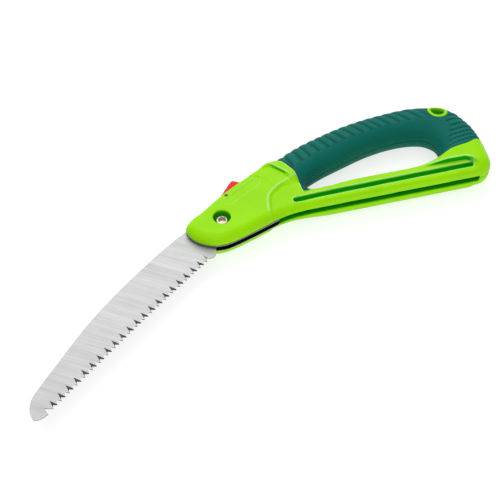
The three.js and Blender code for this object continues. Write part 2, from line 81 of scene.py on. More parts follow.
def smooth(low: float | Array, high: float | Array, value: Array) -> Array:
    """Smooth step.

    Args:
        low: value where the step starts.
        high: value where it ends.
        value: numbers to step.

    Returns:
        0 before low, 1 after high, and a smooth rise between them.
    """
    share = np.clip((value - low) / (np.asarray(high) - low), 0.0, 1.0)
    return share * share * (3.0 - 2.0 * share)


def span(value: Array, start: float, full: float, fade: float, end: float) -> Array:
    """1 from full to fade, falling smoothly to 0 at start and at end."""
    return smooth(start, full, value) * smooth(end, fade, value)


def mix(first: float | Array, second: float | Array, share: Array) -> Array:
    """Blend of two values by share."""
    return first + (second - first) * share


def spline(points: Sequence[Point], closed: bool = False, per: int = 6) -> Array:
    """Centripetal Catmull-Rom curve through points.

    Args:
        points: points that the curve passes.
        closed: whether it returns to its first point.
        per: pieces between two points.

    Returns:
        The points of the curve, one row each.
    """
    pts = np.asarray(points, float)
    if closed:
        ring = np.vstack([pts[-1], pts, pts[0], pts[1]])
    else:
        ring = np.vstack([2 * pts[0] - pts[1], pts, 2 * pts[-1] - pts[-2]])
    out: list[Array] = []
    for p0, p1, p2, p3 in zip(ring, ring[1:], ring[2:], ring[3:]):
        knots = [0.0]
        for a, b in ((p0, p1), (p1, p2), (p2, p3)):
            knots.append(knots[-1] + max(float(np.linalg.norm(b - a)), 1e-6) ** 0.5)
        t0, t1, t2, t3 = knots
        for t in np.linspace(t1, t2, per, endpoint=False):
            a1 = (t1 - t) / (t1 - t0) * p0 + (t - t0) / (t1 - t0) * p1
            a2 = (t2 - t) / (t2 - t1) * p1 + (t - t1) / (t2 - t1) * p2
            a3 = (t3 - t) / (t3 - t2) * p2 + (t - t2) / (t3 - t2) * p3
            b1 = (t2 - t) / (t2 - t0) * a1 + (t - t0) / (t2 - t0) * a2
            b2 = (t3 - t) / (t3 - t1) * a2 + (t - t1) / (t3 - t1) * a3
            out.append((t2 - t) / (t2 - t1) * b1 + (t - t1) / (t2 - t1) * b2)
    if not closed:
        out.append(pts[-1])
    return np.array(out)


def turned(points: Iterable[Point], angle: float) -> list[Point]:
    """Points turned about the pivot by an angle in radians."""
    cos, sin = math.cos(angle), math.sin(angle)
    return [(x * cos - y * sin, x * sin + y * cos) for x, y in points]


class Path:
    """A line or closed outline on the middle plane that tells how far points are from it."""

    def __init__(self, points: Sequence[Point] | Array, closed: bool = False) -> None:
        """Keeps the points, and joins the last to the first if closed.

        Args:
            points: the corners, in order.
            closed: whether the last is joined to the first.
        """
        pts = np.asarray(points, float)
        self.closed = closed
        self.points = np.vstack([pts, pts[:1]]) if closed else pts

    def distance(self, x: Array, y: Array) -> Array:
        """Signed distances of points.

        Args:
            x: first coordinates, in millimetres.
            y: second coordinates.

        Returns:
            Distances, positive inside a closed outline or left of a line.
        """
        best = np.full(x.shape, np.inf)
        left = np.zeros(x.shape)
        crossings = np.zeros(x.shape, int)
        for (ax, ay), (bx, by) in zip(self.points, self.points[1:]):
            ex, ey = bx - ax, by - ay
            length2 = ex * ex + ey * ey
            if length2 < TINY:
                continue
            px, py = x - ax, y - ay
            t = np.clip((px * ex + py * ey) / length2, 0.0, 1.0)
            gap = (px - t * ex) ** 2 + (py - t * ey) ** 2
            near = gap < best
            best = np.where(near, gap, best)
            left = np.where(near, ex * py - ey * px, left)
            if self.closed and ey != 0:
                spans = (ay > y) != (by > y)
                crossings += spans & (px < ex * py / ey)
        sign = np.where(crossings % 2 == 1, 1.0, -1.0) if self.closed else np.sign(left)
        return sign * np.sqrt(best)


# ---------------------------------------------------------------- meshes


@dataclass
class Shape:
    """A mesh before it is an object, in millimetres around the pivot."""

    vertices: Array
    faces: list[Sequence[int]] | Array
    marks: dict[str, Array] = field(default_factory=dict)

    def signed_volume(self) -> float:
        """Volume that is negative where the faces point inwards.

        Returns:
            Volume in cubic millimetres.
        """
        total = 0.0
        by_size: dict[int, list[Sequence[int]]] = {}
        for face in self.faces:
            by_size.setdefault(len(face), []).append(face)
        for size, rows in by_size.items():
            corners = self.vertices[np.asarray(rows)]
            for k in range(1, size - 1):
                cross = np.cross(corners[:, k], corners[:, k + 1])
                total += float(np.einsum("ij,ij->", corners[:, 0], cross)) / 6.0
        return total


def linked(name: str, data: bpy.types.ID) -> bpy.types.Object:
    """An object of its data, linked to the scene.

    Args:
        name: the object's name.
        data: its mesh, light or camera.

    Returns:
        The new object.
    """
    made = bpy.data.objects.new(name, data)
    bpy.context.scene.collection.objects.link(made)
    return made


def shade_smooth(made: bpy.types.Object, faces: Sequence[bool] | None = None) -> None:
    """Shades the faces of an object smooth, all of them or those that faces marks."""
    chosen = [True] * len(made.data.polygons) if faces is None else faces
    made.data.polygons.foreach_set("use_smooth", chosen)


class Workshop:
    """Turns shapes into named objects of the frame, and dresses them."""

    def __init__(self, palette: "Palette") -> None:
        """Keeps the palette, and finds the pivot in the frame.

        Args:
            palette: the materials.
        """
        self.palette = palette
        low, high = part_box("pivot_bushing")
        self.pivot = (Vector(low) + Vector(high)) / 2

    def to_frame(self, vertices: Array) -> Array:
        """Millimetres around the pivot to metres in the frame."""
        return np.asarray(vertices) * MM + np.array(self.pivot)

    def make(self, name: str, shape: Shape, smooth_shading: bool = True) -> bpy.types.Object:
        """Makes an object from a shape.

        Args:
            name: the object's name.
            shape: its mesh.
            smooth_shading: whether its faces are shaded smooth.

        Returns:
            The new object, linked to the scene, with its place in its mesh.
        """
        faces = np.asarray(shape.faces) if isinstance(shape.faces, np.ndarray) else shape.faces
        if shape.signed_volume() < 0:
            faces = faces[:, ::-1] if isinstance(faces, np.ndarray) else [tuple(f)[::-1] for f in faces]
        mesh = bpy.data.meshes.new(name)
        rows = faces.tolist() if isinstance(faces, np.ndarray) else faces
        mesh.from_pydata(self.to_frame(shape.vertices).tolist(), [], rows)
        mesh.polygons.foreach_set("use_smooth", [smooth_shading] * len(mesh.polygons))
        for mark, values in shape.marks.items():
            domain = "POINT" if len(values) == len(mesh.vertices) else "FACE"
            layer = mesh.attributes.new(mark, "FLOAT", domain)
            layer.data.foreach_set("value", np.asarray(values, np.float32))
        mesh.validate()
        mesh.update()
        return linked(name, mesh)

    def seats(self, name: str, places: Iterable[Place]) -> bpy.types.Object:
        """An object with one vertex at each place, the places in millimetres around the pivot.

        Args:
            name: the object's name.
            places: where the vertices are.

        Returns:
            The new object.
        """
        mesh = bpy.data.meshes.new(name)
        mesh.from_pydata([self.pivot + Vector(place) * MM for place in places], [], [])
        return linked(name, mesh)

    def settle(self, made: bpy.types.Object) -> bpy.types.Object:
        """Turns the evaluated object into a plain mesh and removes its modifiers.

        Args:
            made: the object.

        Returns:
            The same object.
        """
        graph = bpy.context.evaluated_depsgraph_get()
        result = bpy.data.meshes.new_from_object(made.evaluated_get(graph), depsgraph=graph)
        made.modifiers.clear()
        made.data = result
        return made

    def bevelled(self, made: bpy.types.Object, width: float, segments: int = 3) -> bpy.types.Object:
        """Rounds the sharp edges of an object and makes the result plain.

        Args:
            made: the object.
            width: width of the round, in millimetres.
            segments: faces across it.

        Returns:
            The same object.
        """
        bevel = made.modifiers.new("edges", "BEVEL")
        bevel.width = width * MM
        bevel.segments = segments
        bevel.limit_method = "ANGLE"
        bevel.angle_limit = math.radians(28)
        bevel.use_clamp_overlap = True
        bevel.harden_normals = False
        return self.settle(made)

    def dress(self, made: bpy.types.Object, body: str, finish: "Finish", nodes: Sequence[str]) -> None:
        """Gives a piece its material, its body and the nodes it stands for.

        Args:
            made: the piece.
            body: body of the frame that it rides on.
            finish: its finish, whose name is its slot.
            nodes: nodes of the frame that it stands for.
        """
        made.data.materials.clear()
        made.data.materials.append(self.palette[finish])
        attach(made, body)
        if nodes:
            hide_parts(*nodes)
        stands_for = ", ".join(nodes) or "nothing"
        log.info("%s: %d faces, stands for %s", made.name, len(made.data.polygons), stands_for)


def prism(outline: Sequence[Point], low: float, high: float) -> Shape:
    """A flat outline carried from low to high, in millimetres.

    Args:
        outline: corners, in order.
        low: height of the lower face.
        high: height of the upper face.

    Returns:
        The solid.
    """
    count = len(outline)
    bottom = [(x, y, low) for x, y in outline]
    top = [(x, y, high) for x, y in outline]
    sides = [(k, (k + 1) % count, count + (k + 1) % count, count + k) for k in range(count)]
    faces: list[Sequence[int]] = [tuple(range(count))[::-1], tuple(range(count, 2 * count)), *sides]
    return Shape(np.array(bottom + top), faces)


def loft(loops: Sequence[Array]) -> Shape:
    """A closed solid through loops of equal length, with flat ends.

    Args:
        loops: rings of points, from one end to the other.

    Returns:
        The solid.
    """
    count = len(loops[0])
    faces: list[Sequence[int]] = [tuple(range(count))[::-1]]
    for row in range(len(loops) - 1):
        base = row * count
        for k in range(count):
            following = (k + 1) % count
            faces.append((base + k, base + following, base + count + following, base + count + k))
    last = (len(loops) - 1) * count
    faces.append(tuple(range(last, last + count)))
    return Shape(np.vstack(loops), faces)


def circle(radius: float, height: float, count: int = 48) -> Array:
    """A level ring of points about the pivot."""
    angles = np.linspace(0, 2 * math.pi, count, endpoint=False)
    return np.stack([radius * np.cos(angles), radius * np.sin(angles), np.full(count, height)], axis=1)


def hexagon(across: float, height: float, count: int = 48) -> Array:
    """A level ring of points on a hexagon, its size across the flats.

    Args:
        across: size across the flats.
        height: height of the ring.
        count: how many points.

    Returns:
        The points, one row each.
    """
    angles = np.linspace(0, 2 * math.pi, count, endpoint=False)
    sector = math.pi / 3
    radius = across / 2 / np.cos((angles + sector / 2) % sector - sector / 2)
    return np.stack([radius * np.cos(angles), radius * np.sin(angles), np.full(count, height)], axis=1)


# ---------------------------------------------------------------- shader graphs


class Number:
    """A number socket of a shader; its arithmetic adds Math nodes."""

    def __init__(self, graph: "Graph", socket: bpy.types.NodeSocket) -> None:
        """Wraps a socket of a graph."""
        self.graph = graph
        self.socket = socket

    def _join(self, operation: str, first: Any, second: Any) -> "Number":
        """A Math node on two values, either of them a Number or a plain number.

        Args:
            operation: what the node does.
            first: its first value.
            second: its second value.

        Returns:
            The result.
        """
        made = self.graph.node("ShaderNodeMath", {"operation": operation}, {0: first, 1: second})
        return Number(self.graph, made.outputs[0])

    def __add__(self, other: Any) -> "Number":
        """This plus other."""
        return self._join("ADD", self, other)

    __radd__ = __add__

    def __sub__(self, other: Any) -> "Number":
        """This less other."""
        return self._join("SUBTRACT", self, other)

    def __mul__(self, other: Any) -> "Number":
        """This times other."""
        return self._join("MULTIPLY", self, other)

    __rmul__ = __mul__


class Tree:
    """A node tree that nodes are added to."""

    tree: bpy.types.NodeTree

    def node(
        self, kind: str, settings: dict[str, Any] | None = None, sockets: dict[Any, Any] | None = None
    ) -> bpy.types.Node:
        """Adds a node.

        Args:
            kind: the node's type.
            settings: its properties, set first.
            sockets: values or links of its inputs, by name or index.

        Returns:
            The node.
        """
        made = self.tree.nodes.new(kind)
        for key, value in (settings or {}).items():
            setattr(made, key, value)
        for key, value in (sockets or {}).items():
            self.feed(made.inputs[key], value)
        return made

    def feed(self, socket: bpy.types.NodeSocket, value: Any) -> None:
        """Sets a socket to a plain value, or links it.

        Args:
            socket: the input socket.
            value: a socket, a Number or a plain value.
        """
        if isinstance(value, Number):
            value = value.socket
        if isinstance(value, bpy.types.NodeSocket):
            self.tree.links.new(value, socket)
        else:
            socket.default_value = value


class Graph(Tree):
    """A material's node tree with one Principled shader."""

    def __init__(self, name: str) -> None:
        """Makes an empty material with its shader and output.

        Args:
            name: the material's name.
        """
        self.material = bpy.data.materials.new(name)
        self.material.use_nodes = True
        self.tree = self.material.node_tree
        self.tree.nodes.clear()
        self.shader = self.node("ShaderNodeBsdfPrincipled")
        output = self.node("ShaderNodeOutputMaterial")
        self.tree.links.new(self.shader.outputs["BSDF"], output.inputs["Surface"])

    def set(self, **values: Any) -> None:
        """Feeds sockets of the Principled shader, spaces in their names as underscores.

        Args:
            values: what each socket gets.
        """
        for key, value in values.items():
            if isinstance(value, tuple) and len(value) == 3:
                value = (*value, 1.0)
            self.feed(self.shader.inputs[key.replace("_", " ")], value)

    def place(self, turn: float = 0.0, stretch: Place = (1.0, 1.0, 1.0)) -> bpy.types.NodeSocket:
        """Object coordinates, turned about Z and stretched.

        Args:
            turn: angle about Z, in radians.
            stretch: factors along the axes.

        Returns:
            The coordinates.
        """
        source = self.node("ShaderNodeTexCoord")
        turning = {"Vector": source.outputs["Object"], "Rotation": (0.0, 0.0, turn)}
        turned_first = self.node("ShaderNodeMapping", {}, turning)
        stretching = {"Vector": turned_first.outputs[0], "Scale": stretch}
        return self.node("ShaderNodeMapping", {}, stretching).outputs[0]

    def noise(
        self, place: bpy.types.NodeSocket, scale: float, detail: float = 2.0, rough: float = 0.5
    ) -> Number:
        """A noise of about 0 to 1 over a place.

        Args:
            place: coordinates.
            scale: how fine it is.
            detail: its octaves.
            rough: strength of the fine octaves.

        Returns:
            The noise.
        """
        values = {"Vector": place, "Scale": scale, "Detail": detail, "Roughness": rough}
        return Number(self, self.node("ShaderNodeTexNoise", {}, values).outputs[0])

    def mark(self, name: str) -> Number:
        """A value that the mesh carries."""
        return Number(self, self.node("ShaderNodeAttribute", {"attribute_name": name}).outputs["Fac"])

    def ramp(self, value: Number, low: float, high: float) -> Number:
        """Value stretched so that low gives 0 and high gives 1, held between them."""
        made = self.node("ShaderNodeMapRange", {}, {0: value, 1: low, 2: high, 3: 0.0, 4: 1.0})
        return Number(self, made.outputs[0])

    def blend(self, share: Any, first: Any, second: Any) -> bpy.types.NodeSocket:
        """A blend of two colours.

        Args:
            share: how much of the second.
            first: a colour or socket.
            second: a colour or socket.

        Returns:
            The blended colour.
        """
        colours = [(*c, 1.0) if isinstance(c, tuple) and len(c) == 3 else c for c in (first, second)]
        ends = {0: share, 6: colours[0], 7: colours[1]}
        made = self.node("ShaderNodeMix", {"data_type": "RGBA"}, ends)
        return made.outputs[2]

    def bump(self, height: Number, depth: float, strength: float = 1.0) -> None:
        """Lets a height in 0 to 1, of a depth in metres, feed the shader's normal."""
        made = self.node("ShaderNodeBump", {}, {"Strength": strength, "Distance": depth, "Height": height})
        self.feed(self.shader.inputs["Normal"], made.outputs[0])


@dataclass(frozen=True)
class MouldedPlastic:
    """Hard moulded plastic with a fine eroded skin, painted shade where it is recessed and painted
    highlights along its rims.
    """

    name: str
    colour: Colour
    # colour of the painted shade in grooves, slots, bores and on step walls
    recess: Colour
    roughness: float = 0.36
    skin_depth: float = 0.00003
    cloud_scale: float = 38.0
    skin_scale: float = 2600.0
    scuff_scale: float = 210.0
    scuff_turn: float = 0.6
    scuff_stretch: Place = (1.0, 7.0, 1.0)
    scuff_range: Point = (0.62, 0.8)  # noise where the scuffs start and are full
    cloud_range: Point = (0.35, 0.65)
    cloud_shade: float = 0.93
    # how much paler the painted rim highlights are, and how strongly they show
    rim_paleness: float = 0.45
    rim_share: float = 0.6
    specular: float = 0.09
    coat: Point = (0.03, 0.28)  # weight and roughness

    def build(self) -> bpy.types.Material:
        """Builds the shader.

        Returns:
            The material.
        """
        graph = Graph(self.name)
        place = graph.place()
        cloud = graph.noise(place, self.cloud_scale, 3.0)
        skin = graph.noise(place, self.skin_scale, 1.0)
        along = graph.place(self.scuff_turn, self.scuff_stretch)
        scuff = graph.ramp(graph.noise(along, self.scuff_scale, 4.0, 0.7), *self.scuff_range)
        shade = tuple(self.cloud_shade * c for c in self.colour)
        base = graph.blend(graph.ramp(cloud, *self.cloud_range), self.colour, shade)
        # painted highlight: the rim mark blends towards a paler colour
        pale = tuple(c + self.rim_paleness * (1.0 - c) for c in self.colour)
        base = graph.blend(graph.mark("rim") * self.rim_share, base, pale)
        # painted shade: the recess mark blends towards the recess colour
        base = graph.blend(graph.mark("recess"), base, self.recess)
        graph.set(
            Base_Color=base,
            Roughness=self.roughness + 0.1 * cloud + 0.12 * scuff,
            Specular_IOR_Level=self.specular,
            Coat_Weight=self.coat[0],
            Coat_Roughness=self.coat[1],
        )
        graph.bump(skin + 0.5 * scuff, self.skin_depth, 0.5)
        return graph.material


@dataclass(frozen=True)
class SoftRubber:
    """Soft overmoulded rubber with a matt, finely pitted skin, painted highlights on the rib crests and
    painted shade in the valleys.
    """

    name: str
    colour: Colour
    # colour of the painted highlight on the rib crests
    crest: Colour
    # colour of the painted shade in the rib valleys
    valley: Colour
    roughness: float = 0.52
    cloud_scale: float = 45.0
    cloud_range: Point = (0.3, 0.7)
    cloud_share: float = 0.12
    cloud_colour: Colour = (0.0, 0.03, 0.028)
    pit_scale: float = 1900.0
    pit_depth: float = 0.00006
    specular: float = 0.12

    def build(self) -> bpy.types.Material:
        """Builds the shader.

        Returns:
            The material.
        """
        graph = Graph(self.name)
        place = graph.place()
        cloud = graph.noise(place, self.cloud_scale, 3.0)
        pits = graph.noise(place, self.pit_scale, 2.0, 0.6)
        # painted highlight on the crests, then painted shade in the valleys
        crest_highlighted = graph.blend(graph.mark("crest"), self.colour, self.crest)
        low = graph.blend(graph.mark("valley"), crest_highlighted, self.valley)
        share = graph.ramp(cloud, *self.cloud_range) * self.cloud_share
        shade = graph.blend(share, low, self.cloud_colour)
        graph.set(
            Base_Color=shade,
            Roughness=self.roughness + 0.14 * cloud,
            Specular_IOR_Level=self.specular,
        )
        graph.bump(pits, self.pit_depth, 0.6)
        return graph.material


@dataclass(frozen=True)
class Steel:
    """Steel with grinding lines at an angle, painted shadow on the ground faces of the teeth and, where
    pale_from is set, painted shadow near the blade's middle.
    """

    name: str
    colour: Colour
    roughness: float
    line_turn: float = 0.0
    line_scale: float = 1500.0
    line_depth: float = 0.00001
    contrast: float = 0.16
    metallic: float = 0.9
    pale_from: float = 0.0  # metres from the blade's middle beyond which it is paler
    pale_gain: float = 12.0
    pale_most: float = 0.7
    line_stretch: Place = (0.02, 1.0, 0.3)
    line_range: Point = (0.36, 0.64)
    broad_ratio: float = 7.0
    smear_scale: float = 55.0
    # share of the colour on the ground tooth faces, a painted shadow
    ground_shade: float = 0.16

    def build(self) -> bpy.types.Material:
        """Builds the shader.

        Returns:
            The material.
        """
        graph = Graph(self.name)
        lines_at = graph.place(self.line_turn, self.line_stretch)
        fine = graph.noise(lines_at, self.line_scale, 3.0, 0.65)
        broad = graph.noise(lines_at, self.line_scale / self.broad_ratio, 2.0, 0.5)
        smear = graph.noise(graph.place(), self.smear_scale, 3.0)
        lines = graph.ramp(0.6 * fine + 0.4 * broad, *self.line_range)
        dark = tuple((1.0 - self.contrast * 2.2) * c for c in self.colour)
        base = graph.blend(lines, dark, self.colour)
        # painted shadow: within pale_from of the blade's middle the liner keeps its dark colour, beyond it
        # turns to pale steel
        if self.pale_from:
            height = graph.node("ShaderNodeSeparateXYZ", {}, {0: graph.place()}).outputs[2]
            offset = Number(graph, height) - BLADE_HEIGHT
            away = graph.node("ShaderNodeMath", {"operation": "ABSOLUTE"}, {0: offset})
            pale = graph.ramp(Number(graph, away.outputs[0]), self.pale_from, self.pale_from + 0.0001)
            bright = tuple(min(self.pale_gain * c, self.pale_most) for c in self.colour)
            base = graph.blend(pale, base, bright)
        # painted shadow: the ground faces of the teeth are drawn dark
        ground = graph.mark("ground")
        base = graph.blend(ground, base, tuple(self.ground_shade * c for c in self.colour))
        graph.set(
            Base_Color=base,
            Metallic=self.metallic,
            Roughness=self.roughness + 0.12 * smear + 0.08 * lines,
        )
        graph.bump(lines, self.line_depth, 0.5)
        return graph.material


class Finish(Enum):
    """The finishes of the saw; all but the liner's bear the name of a slot of the record."""

    # the second colour of each plastic is its painted shade in recesses
    lime_plastic = MouldedPlastic("lime_plastic", (0.335, 0.81, 0.0), (0.0, 0.40, 0.0))
    # rubber: its colour, the painted crest highlight and the painted valley shade
    teal_rubber = SoftRubber("teal_rubber", (0.0, 0.14, 0.112), (0.006, 0.21, 0.17), (0.0, 0.06, 0.05))
    red_plastic = MouldedPlastic("red_plastic", (0.86, 0.035, 0.035), (0.45, 0.01, 0.01), 0.4)
    blade_steel = Steel("blade_steel", (0.54, 0.54, 0.545), 0.36, 0.585, 1500.0, 0.000015, 0.15, 0.6)
    plate_steel = Steel("plate_steel", (0.2, 0.2, 0.205), 0.4, 0.2)
    # the liner's near-black colour is painted shadow of the slot
    liner_steel = Steel("liner_steel", (0.035, 0.035, 0.037), 0.45, 0.2, pale_from=0.0023)
    bright_steel = Steel("bright_steel", (0.62, 0.54, 0.44), 0.2, 0.9, 2400.0)
    dark_steel = Steel("dark_steel", (0.16, 0.165, 0.175), 0.42, 0.4, 2000.0)
    bronze = Steel("bronze", (0.45, 0.26, 0.08), 0.38, 1.1, 1800.0)


class Palette:
    """Builds each finish once."""

    def __init__(self) -> None:
        """Starts with no material."""
        self.made: dict[Finish, bpy.types.Material] = {}

    def __getitem__(self, finish: Finish) -> bpy.types.Material:
        """The material of a finish.

        Args:
            finish: the finish.

        Returns:
            Its material, made on first use.
        """
        if finish not in self.made:
            self.made[finish] = finish.value.build()
        return self.made[finish]


# ---------------------------------------------------------------- moulded skins


@dataclass
class Mould:
    """A grid of points around one half of the handle, and the skin of a solid on it."""

    step: float
    low: Place = (-34.0, -25.0, -1.0)
    high: Place = (231.5, 88.0, 17.0)

    def __post_init__(self) -> None:
        """Lays out the grid."""
        self.axes = [np.arange(a, b + self.step, self.step) for a, b in zip(self.low, self.high)]
        self.x, self.y = np.meshgrid(self.axes[0], self.axes[1], indexing="ij")
        self.z = self.axes[2][None, None, :]

    def skin(self, solid: Array) -> Shape:
        """Skin of the part of the grid where a field is negative.

        Args:
            solid: the field's value at each grid point.

        Returns:
            A closed shape of four-cornered faces.
        """
        inside = solid < 0
        nx, ny, nz = solid.shape
        count = np.zeros((nx - 1, ny - 1, nz - 1), np.int8)
        corners = [(i, j, k) for i in (0, 1) for j in (0, 1) for k in (0, 1)]
        for i, j, k in corners:
            count += inside[i : nx - 1 + i, j : ny - 1 + j, k : nz - 1 + k]
        ci, cj, ck = np.nonzero((count > 0) & (count < 8))
        values = {c: solid[ci + c[0], cj + c[1], ck + c[2]] for c in corners}
        total = np.zeros((len(ci), 3))
        hits = np.zeros(len(ci))
        for a in corners:
            for axis in range(3):
                if a[axis]:
                    continue
                b = tuple(a[n] + (n == axis) for n in range(3))
                fa, fb = values[a], values[b]
                cut = (fa < 0) != (fb < 0)
                share = np.where(cut, fa / np.where(fa == fb, 1.0, fa - fb), 0.0)
                for n in range(3):
                    total[:, n] += cut * (a[n] + (share if n == axis else 0.0))
                hits += cut
        origin = np.array([axis[0] for axis in self.axes])
        vertices = (np.stack([ci, cj, ck], axis=1) + total / hits[:, None]) * self.step + origin
        label = np.full(count.shape, -1, np.int64)
        label[ci, cj, ck] = np.arange(len(ci))
        quads: list[Array] = []
        for axis in range(3):
            u, v = [n for n in range(3) if n != axis]
            first = [slice(1, -1)] * 3
            first[axis] = slice(0, -1)
            second = [slice(1, -1)] * 3
            second[axis] = slice(1, None)
            start, end = inside[tuple(first)], inside[tuple(second)]
            spots = np.argwhere(start != end)
            outward = start[tuple(spots.T)]
            base = spots + 1
            base[:, axis] -= 1
            ring = []
            for du, dv in ((-1, -1), (0, -1), (0, 0), (-1, 0)):
                cell = base.copy()
                cell[:, u] += du
                cell[:, v] += dv
                ring.append(label[tuple(cell.T)])
            faces = np.stack(ring, axis=1)
            flip = outward if axis != 1 else ~outward
            faces[~flip] = faces[~flip][:, ::-1]
            quads.append(faces)
        faces = np.vstack(quads)
        return Shape(vertices, faces[(faces >= 0).all(axis=1)])

    def at(self, plan: Array, vertices: Array) -> Array:
        """Values of a plan at the ground positions of vertices.

        Args:
            plan: values on the grid.
            vertices: points, one row each.

        Returns:
            One value for each point.
        """
        fx = np.clip((vertices[:, 0] - self.axes[0][0]) / self.step, 0, plan.shape[0] - 1.001)
        fy = np.clip((vertices[:, 1] - self.axes[1][0]) / self.step, 0, plan.shape[1] - 1.001)
        i, j = fx.astype(int), fy.astype(int)
        u, v = fx - i, fy - j
        low = plan[i, j] * (1 - u) + plan[i + 1, j] * u
        high = plan[i, j + 1] * (1 - u) + plan[i + 1, j + 1] * u
        return low * (1 - v) + high * v


def rounded(depth: Array, z: Array, half: Array, across: Array | float, rise: Array | float) -> Array:
    """Field of a slab whose edge is an elliptic round.

    Args:
        depth: distance inside the outline.
        z: height above the middle plane.
        half: half thickness of the slab.
        across: width of the round on the plan.
        rise: height of the round.

    Returns:
        A field that is negative inside the slab.
    """
    flat = np.clip((across - depth) / across, 0.0, None)[:, :, None]
    steep = np.clip((z - (half - rise)[:, :, None]) / np.asarray(rise)[:, :, None], 0.0, None)
    return (np.sqrt(flat**2 + steep**2) - 1.0) * np.minimum(across, rise)[:, :, None]


@dataclass
class HandlePlan:
    """Ground plan of the handle on the mould's grid, with the sizes that its parts share."""

    mould: Mould
    head_half: float = 10.8
    strut_half: float = 10.0
    grip_half: float = 14.5
    seam: float = 0.1  # from the middle plane to the parting face of each half
    side_wall: float = 0.6  # straight height at the foot of every rounded edge
    eye: Point = (202.6, 70.4)
    eye_bore: float = 5.9
    eye_rim: float = 8.6
    slot_end: Point = (208.0, 7.3)
    slot_end_radius: float = 5.0
    rubber_round: float = 14.0
    rubber_round_more: float = 6.0  # what the heel's corner adds
    rubber_round_inside: float = 14.6

    def __post_init__(self) -> None:
        """Measures how far every point of the grid is from each outline."""
        x, y = self.mould.x, self.mould.y
        self.depth = self.outline().distance(x, y)
        self.inner = -self.opening().distance(x, y)
        self.zone = self.rubber_zone().distance(x, y)
        self.slot = self.blade_slot().distance(x, y)
        self.room = self.lever_room().distance(x, y)
        self.eye_far = np.hypot(x - self.eye[0], y - self.eye[1])
        foot = [(150, 13.4), (168, 12.9), (188, 13.1), (204, 12.8)]
        self.arm_line = Path([*foot, (208.6, 10.4), (212, 6), (218, 2), (240, -4)]).distance(x, y)

    def outline(self) -> Path:
        """Silhouette of the whole handle.

        Returns:
            The closed outline.
        """
        nose = [(-28.6, -2.4), (-27, -7.9), (-23.8, -12.9), (-18.8, -17.4), (-10.7, -21.2)]
        mouth = [(-3.5, -21.8), (4, -20.6), (22, -14.8), (40, -8.2), (53, -4.6), (66, -3.1)]
        under = [(84, -2.8), (100, -2.6), (150, -2.0), (205, -1.3), (213, -0.9), (219.6, 1.2)]
        rear = [(224.2, 5.6), (226.4, 13), (227.7, 30), (227.4, 42), (225.4, 55), (221.2, 68)]
        heel = [(214.2, 77.6), (204, 82.4), (190, 84.2), (173, 84.4), (155, 83), (135, 80.2)]
        crown = [(115, 75.8), (95, 69.4), (75, 61.8), (53, 50.2), (30, 38.1), (10, 26.4)]
        top = [(-5, 15.8), (-15, 8.4), (-24, 3.0)]
        points = [*nose, *mouth, *under, *rear, *heel, *crown, *top]
        return Path(spline(points, closed=True, per=5), closed=True)

    def opening(self) -> Path:
        """Edge of the hand opening.

        Returns:
            The closed outline.
        """
        strut = [(165, 16), (120, 15.2), (82, 14.6), (75.5, 16), (72, 20), (74.5, 25.5), (82, 30)]
        under_grip = [(92.5, 34.8), (113, 42.2), (133.6, 49), (154, 53), (172, 53.4), (184.4, 50.2)]
        rear = [(190.6, 42.8), (190.6, 32), (185, 22), (176, 17.8)]
        return Path(spline([*strut, *under_grip, *rear], closed=True, per=5), closed=True)

    def rubber_zone(self) -> Path:
        """Ground plan of the rubber between its front and rear joints.

        Returns:
            The closed outline.
        """
        front = [(68.6, 12), (68.2, 19.5), (68.6, 25), (67.6, 29), (65, 34.8), (61.4, 41.6)]
        front += [(57.4, 47.2), (50.5, 54)]
        rear = [(234, 34.2), (221, 30.6), (211.5, 27.4), (201.7, 25.7), (191.7, 22.9), (180, 18.6)]
        outside: list[Point] = [(36, 68), (80, 110), (250, 110)]
        inside: list[Point] = [(150, 20), (90, 12)]
        return Path(np.vstack([spline(front), outside, spline(rear), inside]), closed=True)

    def blade_slot(self) -> Path:
        """Ground plan of the slot for the tang and the folded blade.

        Returns:
            The closed outline.
        """
        before: list[Point] = [(-44, -60), (-44, -10), (-29.5, 2.4)]
        head = spline([(-19, 6), (-11, 10.6), (-2, 14.6), (6, 15.6)])
        (x, y), radius = self.slot_end, self.slot_end_radius
        turns = np.linspace(math.pi / 2, 0, 7)
        end = [(x + radius * math.cos(a), y + radius * math.sin(a)) for a in turns]
        strut: list[Point] = [(40, 15.6), (62, 12.6)]
        return Path(np.vstack([before, head, strut, end, [(x + radius, -60)]]), closed=True)

    def lever_room(self) -> Path:
        """Ground plan of the room for the lock lever and its button.

        Returns:
            The closed outline.
        """
        lever = [(29.4, 9), (1.5, 9), (1.5, 16.6), (12.4, 16.9)]
        button = [(12.4, 26), (43.6, 26), (43.6, 11), (37.6, 9.4), (37.6, 5.4), (29.4, 5.4)]
        return Path(turned([*lever, *button], HEAD_TILT), closed=True)

    def hole(self, place: Point, radius: float) -> Array:
        """Field of a round hole through everything."""
        far = np.hypot(self.mould.x - place[0], self.mould.y - place[1]) - radius
        return np.broadcast_to(far[:, :, None], (*far.shape, self.mould.z.shape[2]))

    def rubber_rounds(self) -> tuple[Array, Array]:
        """Width of the rubber's round along the silhouette, and along the hand opening.

        Returns:
            Both widths over the plan.
        """
        corner = smooth(186.0, 202.0, self.mould.x) * smooth(48.0, 64.0, self.mould.y)
        inside = np.full(self.mould.x.shape, self.rubber_round_inside)
        return self.rubber_round + self.rubber_round_more * corner, inside

    def rubber_top(self) -> Array:
        """Height of the rubber's surface over the plan, without its ribs.

        Returns:
            The height over the plan.
        """
        rise = self.grip_half - self.side_wall
        heights = []
        for depth, across in zip((self.depth, self.inner), self.rubber_rounds()):
            share = np.clip((across - depth) / across, 0.0, 1.0)
            heights.append(self.side_wall + rise * np.sqrt(1 - share**2))
        return np.minimum(*heights)


